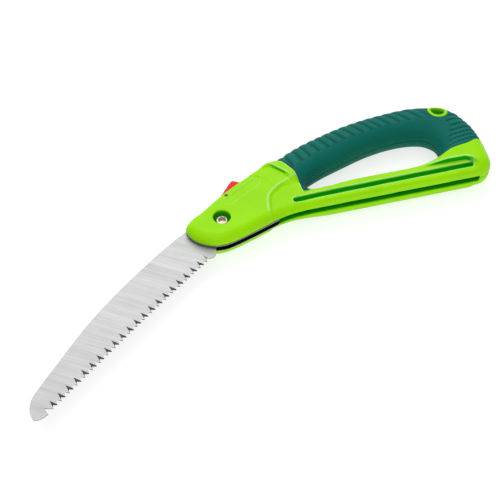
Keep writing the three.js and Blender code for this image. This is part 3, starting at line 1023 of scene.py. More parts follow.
@dataclass
class HardShells:
    """The two hard shells: head, neck, strut and the arm that carries the rubber."""

    plan: HandlePlan
    collar_half: float = 13.5
    ridge: float = 0.4
    strut_dip: float = 0.7  # how much thinner the strut starts behind the head
    slot_half: float = 2.9
    room_half: float = 4.4
    counterbore: float = 6.8
    counterbore_floor: float = 4.3
    counterbore_lip: Point = (0.4, 0.9)  # depth and width
    pivot_bore: float = 3.3
    lever_pin: Point = (18.0, 13.7)  # along and over the head's top edge
    lever_pin_bore: float = 1.45
    groove: tuple[Point, Point] = ((60.6, 4.9), (206.6, 7.5))
    groove_half: float = 2.2
    groove_depth: float = 3.8
    groove_wall: float = 0.45
    groove_lip: Point = (0.3, 1.6)  # depth and width
    plate_middle: Point = (29.4, 7.9)  # along and over the head's top edge
    plate_half: Point = (14.6, 1.4)
    plate_corner: float = 2.4
    plate_depth: float = 0.6
    eye_ring_rise: float = 0.75
    eye_ring_crown: float = 7.2
    eye_ring_half: float = 1.4

    def __post_init__(self) -> None:
        """Measures the lines on the head and neck."""
        x, y = self.plan.mould.x, self.plan.mould.y
        ridge = [(20, 48), (33.5, 35.8), (39.2, 33.4), (43.3, 29.6), (47.4, 21.6), (49, 14)]
        collar = [(40, 55), (50.5, 42.6), (55.3, 36.9), (60.2, 31.2), (70, 20)]
        brink = [(92, 36), (68, 29), (60, 26), (52, 22.4), (45.5, 18), (41.4, 13.6), (39.2, 8)]
        self.ridge_line = Path(ridge).distance(x, y)
        self.collar_line = Path(collar).distance(x, y)
        self.brink_line = Path([*brink, (37.8, 0), (36, -14), (34, -40)]).distance(x, y)
        self.groove_far = np.abs(Path(self.groove).distance(x, y))
        cos, sin = math.cos(HEAD_TILT), math.sin(HEAD_TILT)
        along = np.abs(x * cos + y * sin - self.plate_middle[0]) - self.plate_half[0]
        over = np.abs(y * cos - x * sin - self.plate_middle[1]) - self.plate_half[1]
        self.plate_far = np.hypot(np.clip(along, 0, None), np.clip(over, 0, None))
        self.half = self.half_thickness()

    def half_thickness(self) -> Array:
        """Half thickness over the plan, before the grooves.

        Returns:
            The half thickness at every point of the plan.
        """
        plan, x = self.plan, self.plan.mould.x
        half = mix(plan.head_half, plan.head_half + self.ridge, smooth(-0.3, 0.3, self.ridge_line))
        slope = 0.45 + 9.0 * np.maximum(smooth(57.5, 67.0, x), smooth(5.0, 1.0, plan.depth))
        half = mix(half, self.collar_half, smooth(-slope, 0.45, self.collar_line))
        spread = smooth(50.0, 66.0, x)
        strut = plan.strut_half - self.strut_dip * (1.0 - smooth(60.0, 92.0, x))
        half = mix(half, strut, smooth(-0.6 - 2.4 * spread, 2.6 + 4.0 * spread, self.brink_line))
        arm = mix(plan.strut_half, plan.grip_half, smooth(162.0, 198.0, x))
        fade = 0.5 + 9.0 * smooth(206.0, 216.0, x)
        return mix(half, arm, smooth(-fade, fade * 0.4 + 0.3, plan.arm_line) * (x > 151.0))

    def edge_round(self) -> Array:
        """Width of the round along the silhouette: wide at the nose, the neck and the rear.

        Returns:
            The width at every point of the plan.
        """
        x, y = self.plan.mould.x, self.plan.mould.y
        under = 7.4 - 4.2 * smooth(38.0, 92.0, x) + 8.0 * smooth(204.0, 221.0, x)
        top = 3.0 + 9.0 * smooth(43.0, 62.0, x)
        middle = np.where(x < 56, -2.0 + 0.49 * np.clip(x, 0, 56), 10.0)
        spread = 3.0 + 5.0 * smooth(150.0, 200.0, x) + 7.0 * smooth(12.0, -20.0, x)
        return mix(under, top, smooth(-spread, spread, y - middle))

    def groove_cut(self) -> Array:
        """Depth of the side groove and its lip over the plan.

        Returns:
            The depth at every point of the plan.
        """
        depth, width = self.groove_lip
        lip = depth * (1 - smooth(self.groove_half, self.groove_half + width, self.groove_far))
        low, high = self.groove_half - self.groove_wall, self.groove_half + self.groove_wall
        return self.groove_depth * (1 - smooth(low, high, self.groove_far)) + lip

    def recessed(self) -> Array:
        """Half thickness with the groove, the recess on the head and the counterbore's lip.

        Returns:
            The half thickness at every point of the plan.
        """
        depth, width = self.counterbore_lip
        middle_far = np.hypot(self.plan.mould.x, self.plan.mould.y)
        rim = depth * (1 - smooth(self.counterbore, self.counterbore + width, middle_far))
        corner = self.plate_corner
        plate = self.plate_depth * (1 - smooth(0.75 * corner, corner, self.plate_far))
        return self.half - self.groove_cut() - plate - rim

    def field(self) -> Array:
        """Field of one half of the shell, negative inside its plastic.

        Returns:
            The field on the grid.
        """
        plan, x, y, z = self.plan, self.plan.mould.x, self.plan.mould.y, self.plan.mould.z
        half, outer = self.recessed(), self.edge_round()
        inner = 2.0 + 11.2 * smooth(15.0, 29.0, y)
        walls = half - plan.side_wall
        solid = np.maximum(
            rounded(plan.depth, z, half, outer, np.minimum(outer, walls)),
            rounded(plan.inner, z, half, inner, np.minimum(inner, walls)),
        )
        solid = np.maximum(solid, (plan.zone + 0.02)[:, :, None])
        dome = ((plan.eye_far - self.eye_ring_crown) / self.eye_ring_half) ** 2
        crown = np.minimum(plan.rubber_top() + self.eye_ring_rise, plan.grip_half) - 0.55 * dome
        ring = np.maximum((plan.eye_far - plan.eye_rim)[:, :, None], z - crown[:, :, None])
        solid = np.maximum(np.minimum(solid, ring), (plan.eye_bore - plan.eye_far)[:, :, None])
        middle = np.hypot(x, y)[:, :, None]
        for carve in (
            np.maximum(z - self.slot_half, -plan.slot[:, :, None]),
            np.maximum(z - self.room_half, -plan.room[:, :, None]),
            np.maximum(middle - self.counterbore, self.counterbore_floor - z),
            plan.hole(turned([self.lever_pin], HEAD_TILT)[0], self.lever_pin_bore),
            middle - self.pivot_bore,
        ):
            solid = np.maximum(solid, -carve)
        return np.maximum(solid, plan.seam - z)

    def shade(self, shape: Shape) -> Array:
        """How much painted shade each point of a shell gets, from 0 to 1: in the groove, the blade slot, the
        counterbore and the eye's bore, and on the walls of the arm's step and the collar.

        Args:
            shape: the skin of a shell.

        Returns:
            One value for each point.
        """
        plan, at = self.plan, self.plan.mould.at
        v = shape.vertices
        x, height = v[:, 0], np.abs(v[:, 2])
        below = at(self.half, v) - height
        groove = smooth(0.5, 1.6, at(self.groove_cut(), v)) * smooth(0.35, 1.3, below)
        slot = smooth(4.0, 3.0, height) * smooth(0.3, 1.6, at(plan.depth, v))
        slot = slot * smooth(-1.6, -0.6, at(plan.slot, v))
        middle_far = np.hypot(x, v[:, 1])
        bore = smooth(self.counterbore + 0.5, self.counterbore - 0.1, middle_far)
        bore = bore * smooth(0.6, 2.2, below)
        step = smooth(1.5, 0.4, np.abs(at(plan.arm_line, v))) * span(x, 166.0, 180.0, 206.0, 214.0)
        step = step * smooth(plan.strut_half + 0.1, plan.strut_half + 0.8, height)
        step = step * smooth(0.15, 0.7, plan.grip_half - height)
        collar = smooth(0.9, 0.3, np.abs(at(self.collar_line, v))) * span(x, 49.5, 51.0, 58.5, 61.0)
        collar = collar * smooth(0.1, 0.7, self.collar_half - height) * (height > plan.head_half)
        eye = smooth(plan.eye_bore + 0.7, plan.eye_bore + 0.1, at(plan.eye_far, v))
        eye = eye * smooth(0.8, 3.5, at(plan.rubber_top(), v) - height)
        return np.clip(groove + slot + bore + step + 0.8 * (eye + collar), 0.0, 1.0)

    def rim_highlights(self, shape: Shape) -> Array:
        """How much painted highlight each point of a shell gets along its rims and edges, from 0 to 1.

        Args:
            shape: the skin of a shell.

        Returns:
            One value for each point.
        """
        plan, at = self.plan, self.plan.mould.at
        v = shape.vertices
        x, y = v[:, 0], v[:, 1]

        def line(far: Array, middle: float, width: float) -> Array:
            """1 where far is middle, 0 where it is more than width off."""
            return smooth(width, 0.0, np.abs(far - middle))

        groove_far = np.abs(Path(self.groove).distance(x, y))
        rim_highlights = line(groove_far, self.groove_half + 0.9, 0.7)
        rim_highlights = rim_highlights + line(at(-plan.zone, v), 0.7, 0.7) * smooth(72.0, 68.0, x)
        rim_highlights = rim_highlights + line(at(self.collar_line, v), 0.9, 0.8) * span(x, 49.0, 51.0, 60.0, 63.0)
        rim_highlights = rim_highlights + line(at(plan.arm_line, v), 1.4, 1.1) * span(x, 164.0, 180.0, 207.0, 213.0)
        brink = line(at(self.brink_line, v), -0.9, 1.3) * smooth(72.0, 60.0, x)
        rim_highlights = rim_highlights + 0.8 * brink * smooth(-8.0, 2.0, y)
        rim_highlights = rim_highlights + 0.5 * line(at(self.plate_far, v), self.plate_corner + 0.1, 0.6)
        return np.clip(rim_highlights, 0.0, 1.0) * smooth(8.0, 9.0, np.abs(v[:, 2]))


@dataclass
class RubberGrip:
    """The soft rubber over the ring of the handle, with ribs on its crown and its heel."""

    plan: HandlePlan
    rib_height: float = 1.3
    rib_base: float = 0.45  # how far the valleys lie inside the silhouette
    rib_drop: float = 0.85  # how much lower the ribs start on the flat side
    rib_power: float = 0.45  # roundness of a rib: the lower, the flatter its crest
    rib_end: Point = (22.0, 18.5)  # depths between which the crown's ribs rise
    heel_slope: float = 0.14
    heel_rib_start: float = 2.6
    trace_heights: tuple[float, ...] = (1.9, 4.3, 6.7)
    trace_depth: float = 0.3
    trace_half: float = 0.55
    crown_valleys: tuple[float, ...] = (
        *(54.5, 62.8, 69.9, 76.5, 84.2, 91.8, 98.4, 105.8, 113.8),
        *(121.8, 129.8, 137.1, 145.0, 153.7, 161.4, 171.2, 179.5),
    )
    crown_lean: tuple[Point, ...] = (
        *((60, 2), (75, 5), (100, 7.5)),
        *((125, 9.6), (160, 10.8), (185, 12.6)),
    )
    heel_valleys: tuple[float, ...] = (26.0, 29.8, 34.2, 38.6, 43.4, 49.0, 55.4, 61.4, 67.4)
    heel_starts: tuple[Point, ...] = (
        *((28.3, 191.8), (34.1, 196.8), (38.4, 199.6), (43.5, 202.2)),
        *((49.6, 204.6), (56.1, 203.5), (66.0, 209.0)),
    )

    def __post_init__(self) -> None:
        """Lays out the ribs of the crown and of the heel."""
        plan, x, y = self.plan, self.plan.mould.x, self.plan.mould.y
        lean = np.interp(x, *zip(*self.crown_lean)) * np.clip(plan.depth, -2.0, 21.0) / 16.5
        crown, along = self.row(x - lean, self.crown_valleys)
        crown_reach = smooth(*self.rib_end, plan.depth) * along
        heel, across = self.row(y - self.heel_slope * (x - 200.0), self.heel_valleys)
        start = np.interp(y, *zip(*self.heel_starts))
        heel_reach = smooth(start, start + self.heel_rib_start, x) * across
        self.reach = np.maximum(crown_reach, heel_reach)
        self.ribs = crown * crown_reach + heel * heel_reach

    def row(self, place: Array, valleys: Sequence[float]) -> tuple[Array, Array]:
        """A row of ribs.

        Args:
            place: where each point lies along the row.
            valleys: where the ribs' valleys are.

        Returns:
            Height from 0 in a valley to 1 on a crest, and 1 inside the row, 0 outside it.
        """
        turn = np.interp(place, valleys, np.arange(len(valleys), dtype=float))
        first, last = valleys[0], valleys[-1]
        within = smooth(first, first + 0.6, place) * smooth(last, last - 0.6, place)
        return np.abs(np.sin(math.pi * turn)) ** self.rib_power, within

    def field(self) -> Array:
        """Field of one half of the grip, negative inside its rubber.

        Returns:
            The field on the grid.
        """
        plan, z = self.plan, self.plan.mould.z
        lift = self.rib_height * self.ribs - self.rib_base * self.reach
        half = plan.grip_half - 0.05 + lift - self.rib_drop * self.reach
        outer, inner = plan.rubber_rounds()
        rise = half - plan.side_wall
        solid = np.maximum(
            rounded(plan.depth + lift, z, half, outer, rise),
            rounded(plan.inner, z, half, inner, rise),
        )
        traces = sum(np.exp(-(((z - at) / self.trace_half) ** 2)) for at in self.trace_heights)
        solid = solid + self.trace_depth * traces * smooth(7.0, 4.0, plan.inner)[:, :, None]
        solid = np.maximum(solid, (plan.seam - plan.zone)[:, :, None])
        solid = np.maximum(solid, (plan.eye_rim + 0.08 - plan.eye_far)[:, :, None])
        return np.maximum(solid, plan.seam - z)

    def marks(self, shape: Shape) -> dict[str, Array]:
        """How much painted highlight each point of a grip gets on a rib's crest, and how much painted shade
        in a valley.

        Args:
            shape: the skin of a grip.

        Returns:
            The marks by name.
        """
        ribs = self.plan.mould.at(self.ribs, shape.vertices)
        reach = self.plan.mould.at(self.reach, shape.vertices)
        valley = smooth(0.7, 0.25, ribs) * smooth(0.3, 0.9, reach) * 0.8
        return {"crest": smooth(0.8, 1.0, ribs) * reach * 0.4, "valley": valley}


@dataclass
class Handle:
    """The moulded handle: two hard shells with the rubber grip on them."""

    workshop: Workshop
    step: float = 0.52
    quick_step: float = 1.0
    screw_bore: float = 3.7
    screws: tuple[Place, ...] = (
        *((46.0, 34.0, 7.6), (60.5, 21.5, 7.0), (93.0, 53.0, 7.0)),
        *((140.0, 67.0, 7.0), (184.0, 69.0, 7.0), (206.0, 20.5, 10.0)),
    )

    def bored(self, solid: Array, plan: HandlePlan) -> Array:
        """A field with the bores for the housing screws' heads.

        Args:
            solid: field of a shell or a grip.
            plan: the ground plan.

        Returns:
            The field with its bores.
        """
        for x, y, seat in self.screws:
            bore = np.maximum(plan.hole((x, y), self.screw_bore), seat - plan.mould.z)
            solid = np.maximum(solid, -bore)
        return solid

    def build(self) -> None:
        """Moulds both shells and both halves of the grip, and dresses them."""
        mould = Mould(step=self.step)
        plan = HandlePlan(mould)
        shells, rubber = HardShells(plan), RubberGrip(plan)
        hard, soft = shells.field(), rubber.field()
        for side in Side:
            if side is Side.RIGHT:
                hard, soft = self.bored(hard, plan), self.bored(soft, plan)
            label = side.name.lower()
            skin = mould.skin(hard)
            # the recess mark carries painted shade, the rim mark painted highlights
            skin.marks = {"recess": shells.shade(skin), "rim": shells.rim_highlights(skin)}
            node = f"handle_shell_{label}"
            self.finish(f"shell_{label}_moulded", skin, side, Finish.lime_plastic, node)
            skin = mould.skin(soft)
            skin.marks = rubber.marks(skin)
            self.finish(f"grip_{label}_moulded", skin, side, Finish.teal_rubber, f"grip_{label}")

    def finish(self, name: str, skin: Shape, side: Side, finish: Finish, node: str) -> None:
        """Turns a skin to its side and makes a dressed piece of it.

        Args:
            name: the piece's name.
            skin: its mesh.
            side: its side.
            finish: its finish.
            node: the node that it stands for.
        """
        skin.vertices = skin.vertices * np.array([1.0, 1.0, float(side.value)])
        made = self.workshop.make(name, skin)
        self.workshop.dress(made, "handle", finish, [node])


# ---------------------------------------------------------------- blade


@dataclass
class Blade:
    """The saw blade with its ground teeth."""

    workshop: Workshop
    thickness: float = 1.2
    reach: float = 208.7
    pitch: float = 3.8
    tip_lean: float = 0.9  # how far back the deep gullets' roots lie
    toothed_from: float = 33.4
    toothed_to: float = 199.4
    gullet: float = 2.5
    deep_gullet: float = 6.2
    tang: float = 14.0
    rise: float = 0.62  # where the tang's rim starts, in radians
    bore: float = 4.12
    notches: tuple[float, float] = (-124.3, -265.3)
    notch_reach: float = 10.5  # degrees of the rim that each notch takes up
    notch_depth: float = 2.1
    notch_half: float = 2.0  # at its floor
    notch_lip: Point = (13.8, 2.34)  # reach and half width at the rim
    slot_at: float = 8.4
    slot_half: float = 1.3
    slot_span: tuple[float, float] = (57.2, 200.2)

    def edge(self, along: float) -> float:
        """Height of the tooth tips over the pivot's line."""
        share = (along - self.toothed_from) / (self.toothed_to - self.toothed_from)
        return 12.2 - 14.6 * share + 9.6 * share**2 - 3.3 * share**3

    def face(self, upper: bool) -> tuple[list[Point], list[bool]]:
        """Outline of one face of the blade.

        Args:
            upper: whether it is the face towards the left side.

        Returns:
            Its points, in the blade's own frame, and which of them are ground.
        """
        points: list[Point] = turned([(self.tang, 0.0)], self.rise)
        points += [(20.4, 9.4), (26.2, 13.4)]
        points += map(tuple, spline([(28.6, 13.5), (31.4, 12.2), (32.6, 10.2)], per=3))
        ground = [False] * len(points)
        count = int((self.toothed_to - self.toothed_from) / self.pitch)
        for index in range(count):
            tip = self.toothed_from + self.pitch * (index + 0.5)
            low = tip - self.pitch / 2
            deep = (index % 2 == 0) == upper
            lean = self.tip_lean if deep else 0.0
            gullet = self.deep_gullet if deep else self.gullet
            points += [(low - lean, self.edge(low) - gullet), (tip, self.edge(tip))]
            ground += [True, True]
        end = [(200.2, 4.2), (204.4, 3.1), (self.reach, 0), (206.8, -6), (198.7, -12.4)]
        back = [(188, -14.7), (167, -17.6), (145, -20.8), (126.6, -22.7), (97, -23.6)]
        heel = [(55, -22.4), (30, -20), (20, -18.4)]
        tail: list[Point] = [(198.3, -0.8), *map(tuple, spline([*end, *back, *heel], per=4))]
        tail += [(11, -15.2), (3.6, -13.53), *self.tang_rim()]
        return points + tail, ground + [False] * len(tail)

    def tang_rim(self) -> list[Point]:
        """Round rim of the tang with its lock notches.

        Returns:
            Its points, clockwise.
        """
        rim: list[Point] = []
        seen: set[float] = set()
        for angle in np.linspace(math.radians(-75), self.rise - 2 * math.pi, 56)[1:-1]:
            near = [n for n in self.notches if abs(math.degrees(angle) - n) < self.notch_reach]
            if not near:
                rim.append((self.tang * math.cos(angle), self.tang * math.sin(angle)))
            elif near[0] not in seen:
                seen.add(near[0])
                bottom = self.tang - self.notch_depth
                (lip, high), low = self.notch_lip, self.notch_half
                corners = [(lip, high), (bottom, low), (bottom, -low), (lip, -high)]
                rim += turned(corners, math.radians(near[0]))
        return rim

    def stop_slot(self, height: float) -> Array:
        """Ring of points along the curved slot that the stop pin runs in.

        Args:
            height: height of the ring.

        Returns:
            The points, one row each.
        """
        start, end = (math.radians(a) for a in self.slot_span)
        outer, inner = self.slot_at + self.slot_half, self.slot_at - self.slot_half
        cap = np.linspace(0, math.pi, 9)[1:-1]

        def arc(radius: float, first: float, last: float) -> list[Point]:
            """Points along a long side of the slot."""
            return [(radius * math.cos(a), radius * math.sin(a)) for a in np.linspace(first, last, 30)]

        def rounded_end(angles: Array, place: float) -> list[Point]:
            """Points around one end of the slot.

            Args:
                angles: where the points lie around the end.
                place: the end's angle about the pivot.

            Returns:
                The points, in order.
            """
            half = self.slot_half
            corners = [(self.slot_at + half * math.cos(a), half * math.sin(a)) for a in angles]
            return turned(corners, place)

        ring = [*arc(outer, start, end), *rounded_end(cap, end)]
        ring += [*arc(inner, end, start), *rounded_end(cap + math.pi, start)]
        return np.array([(x, y, height) for x, y in turned(ring, OPEN_ANGLE)])

    def build(self) -> None:
        """Makes the blade and dresses it."""
        top, ground = self.face(True)
        bottom, _ = self.face(False)
        half = self.thickness / 2
        count = len(top)
        upper = [(x, y, half) for x, y in turned(top, OPEN_ANGLE)]
        lower = [(x, y, -half) for x, y in turned(bottom, OPEN_ANGLE)]
        openings = (circle(self.bore, half, 32), self.stop_slot(half))
        mesh = bmesh.new()
        high = [mesh.verts.new(v) for v in upper]
        low = [mesh.verts.new(v) for v in lower]
        layer = mesh.faces.layers.float.new("ground")
        for k in range(count):
            following = (k + 1) % count
            side = mesh.faces.new((low[k], low[following], high[following], high[k]))
            side[layer] = 1.0 if ground[k] and ground[following] else 0.0
        holes: list[list[Any]] = [[], []]
        for height, rim in ((half, high), (-half, low)):
            edges = [mesh.edges.get((a, b)) for a, b in zip(rim, rim[1:] + rim[:1])]
            for index, opening in enumerate(openings):
                ring = [mesh.verts.new((x, y, height)) for x, y, _ in opening]
                holes[index].append(ring)
                edges += [mesh.edges.new((a, b)) for a, b in zip(ring, ring[1:] + ring[:1])]
            bmesh.ops.triangle_fill(mesh, use_beauty=True, use_dissolve=False, edges=edges)
        for first, second in holes:
            for k in range(len(first)):
                following = (k + 1) % len(first)
                mesh.faces.new((first[k], first[following], second[following], second[k]))
        bmesh.ops.recalc_face_normals(mesh, faces=mesh.faces)
        mesh.verts.ensure_lookup_table()
        vertices = np.array([v.co[:] for v in mesh.verts])
        mesh.verts.index_update()
        faces = [tuple(v.index for v in f.verts) for f in mesh.faces]
        marks = {"ground": np.array([f[layer] for f in mesh.faces])}
        mesh.free()
        made = self.workshop.make("blade_ground", Shape(vertices, faces, marks), smooth_shading=False)
        self.workshop.dress(made, "blade", Finish.blade_steel, ["blade"])


# ---------------------------------------------------------------- pivot, lock and screws


@dataclass
class PivotScrew:
    """Bright screw of the pivot, with a domed head and a hexagon socket."""

    workshop: Workshop
    foot: float = -8.4
    seat: float = 4.4
    head: float = 5.0
    rim: float = 1.4  # straight height of the head
    dome: float = 1.2
    dome_in: float = 1.5  # how far in the dome's round goes
    shank: float = 2.9
    socket: float = 5.4  # across its flats
    socket_floor: float = 0.3  # over the seat

    def build(self) -> None:
        """Makes the screw and dresses it."""
        foot, seat, head, shank = self.foot, self.seat, self.head, self.shank
        loops = [circle(shank - 0.5, foot), circle(shank, foot + 0.5), circle(shank, seat)]
        loops += [circle(head - 0.1, seat), circle(head, seat + 0.15), circle(head, seat + self.rim)]
        for angle in np.linspace(0.15, 1.0, 5) * math.pi / 2:
            radius = head - self.dome_in * (1 - math.cos(angle))
            loops.append(circle(radius, seat + self.rim + self.dome * math.sin(angle)))
        top = seat + self.rim + self.dome
        loops += [hexagon(self.socket + 0.5, top), hexagon(self.socket, top - 0.25)]
        loops.append(hexagon(self.socket, seat + self.socket_floor))
        made = self.workshop.make("pivot_screw_head", loft(loops), smooth_shading=False)
        curved = [p.normal.z < 0.999 and p.area < 1e-6 for p in made.data.polygons]
        shade_smooth(made, curved)
        self.workshop.dress(made, "handle", Finish.bright_steel, ["pivot_screw"])


@dataclass
class ThumbButton:
    """Red thumb button of the lock."""

    workshop: Workshop
    half: float = 4.0
    edge: float = 0.7

    def build(self) -> None:
        """Makes the button and dresses it."""
        crest = spline([(14.6, 18.6), (17.2, 20.0), (21.8, 21.8), (28, 24.1), (34.4, 26.3)], per=4)
        nose = spline([(36.2, 26.6), (37.3, 25.6), (38.6, 23.2), (41.9, 17.6)], per=3)
        rest: list[Point] = [(42.2, 12.4), (23.5, 12.4), (22.5, 16.6), (14.6, 16.8)]
        outline = turned([*map(tuple, crest), *map(tuple, nose), *rest], HEAD_TILT)
        made = self.workshop.make("thumb_button_moulded", prism(outline, -self.half, self.half))
        self.workshop.bevelled(made, self.edge, 4)
        shade_smooth(made)
        self.workshop.dress(made, "lock_lever", Finish.red_plastic, ["thumb_button"])


class Nodes(Tree):
    """A geometry node tree with named inputs, built in order."""

    def __init__(self, name: str) -> None:
        """Makes an empty tree with a geometry output.

        Args:
            name: the tree's name.
        """
        self.tree = bpy.data.node_groups.new(name, "GeometryNodeTree")
        self.tree.interface.new_socket("Geometry", in_out="OUTPUT", socket_type="NodeSocketGeometry")
        self.inputs: dict[str, str] = {}
        self.entry = self.tree.nodes.new("NodeGroupInput")
        self.exit = self.tree.nodes.new("NodeGroupOutput")

    def input(self, name: str, kind: str) -> bpy.types.NodeSocket:
        """Adds a named input and gives its socket inside the tree.

        Args:
            name: the input's name.
            kind: its type of socket.

        Returns:
            The socket.
        """
        made = self.tree.interface.new_socket(name, in_out="INPUT", socket_type=kind)
        self.inputs[name] = made.identifier
        return self.entry.outputs[name]

    def seats(self, name: str) -> bpy.types.NodeSocket:
        """Points at the vertices of the object that a named input gives."""
        where = self.node("GeometryNodeObjectInfo", {}, {"Object": self.input(name, "NodeSocketObject")})
        return self.node("GeometryNodeMeshToPoints", {}, {0: where.outputs["Geometry"]}).outputs[0]

    def close(self, geometry: bpy.types.NodeSocket, material: bpy.types.Material) -> None:
        """Realizes the geometry, gives it its material and ends the tree.

        Args:
            geometry: the last geometry.
            material: its material.
        """
        real = self.node("GeometryNodeRealizeInstances", {}, {0: geometry})
        dressed = self.node("GeometryNodeSetMaterial", {}, {0: real.outputs[0], "Material": material})
        self.tree.links.new(dressed.outputs[0], self.exit.inputs[0])

    def run(self, name: str, workshop: Workshop, **values: Any) -> bpy.types.Object:
        """Runs the tree on an empty object and gives the plain result.

        Args:
            name: the result's name.
            workshop: the workshop.
            values: what the named inputs get.

        Returns:
            The result.
        """
        made = linked(name, bpy.data.meshes.new(name))
        modifier = made.modifiers.new("nodes", "NODES")
        modifier.node_group = self.tree
        for key, value in values.items():
            modifier[self.inputs[key]] = value
        return workshop.settle(made)


@dataclass
class LockSpring:
    """Coil spring under the thumb button: a wire along a helix."""

    workshop: Workshop
    turns: float = 4.0
    radius: float = 2.0
    wire: float = 0.35
    base: Point = (33.5, 6.0)
    height: float = 5.1

    def build(self) -> None:
        """Winds the spring and dresses it."""
        nodes = Nodes("coil")
        turns, radius, wire, height = (
            nodes.input(name, "NodeSocketFloat") for name in ("Turns", "Radius", "Wire", "Height")
        )
        place, tilt = (nodes.input(name, "NodeSocketVector") for name in ("Place", "Tilt"))
        sizes = {"Start Radius": radius, "End Radius": radius, "Height": height}
        line = nodes.node("GeometryNodeCurveSpiral", {}, {"Resolution": 32, "Rotations": turns, **sizes})
        ring = {"Resolution": 10, "Radius": wire}
        profile = nodes.node("GeometryNodeCurvePrimitiveCircle", {"mode": "RADIUS"}, ring)
        swept = {"Curve": line.outputs[0], "Profile Curve": profile.outputs[0], "Fill Caps": True}
        coil = nodes.node("GeometryNodeCurveToMesh", {}, swept)
        moved = {"Geometry": coil.outputs[0], "Translation": place, "Rotation": tilt}
        set_down = nodes.node("GeometryNodeTransform", {}, moved)
        finish = Finish.bright_steel
        nodes.close(set_down.outputs[0], self.workshop.palette[finish])
        (x, y), = turned([self.base], HEAD_TILT)
        spot = self.workshop.pivot + Vector((x, y, 0.0)) * MM
        turn = Matrix.Rotation(HEAD_TILT, 3, "Z") @ Matrix.Rotation(-math.pi / 2, 3, "X")
        made = nodes.run(
            "lock_spring_coil",
            self.workshop,
            Turns=self.turns,
            Radius=self.radius * MM,
            Wire=self.wire * MM,
            Height=self.height * MM,
            Place=tuple(spot),
            Tilt=tuple(turn.to_euler()),
        )
        shade_smooth(made)
        self.workshop.dress(made, "handle", finish, ["lock_spring"])


@dataclass
class ShellScrews:
    """The housing screws of the right side: one screw, set down at each place."""

    workshop: Workshop
    places: tuple[Place, ...]
    head: float = 3.2
    head_height: float = 2.0
    shank: float = 1.45
    tip: float = 0.4
    play: float = 0.1  # gap under the head
    around: int = 36
    seed: int = 7

    def pattern(self) -> bpy.types.Object:
        """One screw with its head's underside at zero and a six-lobed socket.

        Returns:
            The screw, an object of its own.
        """
        count = self.around
        angles = np.linspace(0, 2 * math.pi, count, endpoint=False)

        def lobes(radius: float, height: float) -> Array:
            """A level ring with six soft lobes."""
            reach = radius * (1.0 + 0.16 * np.cos(6 * angles))
            return np.stack([reach * np.cos(angles), reach * np.sin(angles), np.full(count, height)], axis=1)

        top = -self.head_height
        loops = [lobes(1.2, top + 1.3), lobes(1.25, top + 0.05), lobes(1.4, top - 0.02)]
        for radius, height in (
            *((2.2, top), (self.head - 0.25, top + 0.35), (self.head, top + 0.8), (self.head, 0.0)),
            *((self.shank, 0.0), (self.shank, 10.0), (self.tip, 12.0)),
        ):
            loops.append(circle(radius, height, count))
        return self.workshop.make("screw_pattern", loft(loops), smooth_shading=False)

    def build(self) -> None:
        """Sets the screws down and dresses them."""
        pattern = self.pattern()
        pattern.data.transform(Matrix.Translation(-self.workshop.pivot))
        places = [(x, y, -seat - self.play) for x, y, seat in self.places]
        holder = self.workshop.seats("screw_seats", places)
        nodes = Nodes("set_screws")
        what = nodes.input("Screw", "NodeSocketObject")
        points = nodes.seats("Seats")
        size = nodes.input("Size", "NodeSocketFloat")
        seed = nodes.input("Seed", "NodeSocketInt")
        screw = nodes.node("GeometryNodeObjectInfo", {}, {"Object": what})
        any_turn = {0: (0.0, 0.0, 0.0), 1: (0.0, 0.0, 6.28), "Seed": seed}
        turn = nodes.node("FunctionNodeRandomValue", {"data_type": "FLOAT_VECTOR"}, any_turn)
        setting = {"Points": points, "Instance": screw.outputs["Geometry"]}
        setting.update({"Rotation": turn.outputs[0], "Scale": size})
        placed = nodes.node("GeometryNodeInstanceOnPoints", {}, setting)
        finish = Finish.dark_steel
        nodes.close(placed.outputs[0], self.workshop.palette[finish])
        values = {"Screw": pattern, "Seats": holder, "Size": 1.0, "Seed": self.seed}
        made = nodes.run("shell_screw_set", self.workshop, **values)
        for spare in (pattern, holder):
            bpy.data.objects.remove(spare)
        names = [f"shell_screw_{number + 1}" for number in range(len(self.places))]
        self.workshop.dress(made, "handle", finish, names)


@dataclass
class GripDots:
    """Small studs at the inner ends of the heel's grooves."""

    workshop: Workshop
    radius: float = 0.55
    sink: float = 0.15
    places: tuple[Place, ...] = (
        *((201.5, 56.8, 14.2), (203.6, 50.2, 14.3), (202.8, 43.9, 14.3)),
        *((200.4, 38.4, 14.3), (197.4, 33.2, 14.2)),
    )

    def build(self) -> None:
        """Sets a row of studs on each side and dresses them."""
        both = [(x, y, side.value * (z - self.sink)) for side in Side for x, y, z in self.places]
        holder = self.workshop.seats("stud_seats", both)
        nodes = Nodes("set_studs")
        points = nodes.seats("Seats")
        radius = nodes.input("Radius", "NodeSocketFloat")
        stud = nodes.node("GeometryNodeMeshIcoSphere", {}, {"Radius": radius, "Subdivisions": 3})
        setting = {"Points": points, "Instance": stud.outputs[0]}
        placed = nodes.node("GeometryNodeInstanceOnPoints", {}, setting)
        finish = Finish.teal_rubber
        nodes.close(placed.outputs[0], self.workshop.palette[finish])
        made = nodes.run("grip_studs", self.workshop, Seats=holder, Radius=self.radius * MM)
        bpy.data.objects.remove(holder)
        shade_smooth(made)
        self.workshop.dress(made, "handle", finish, [])


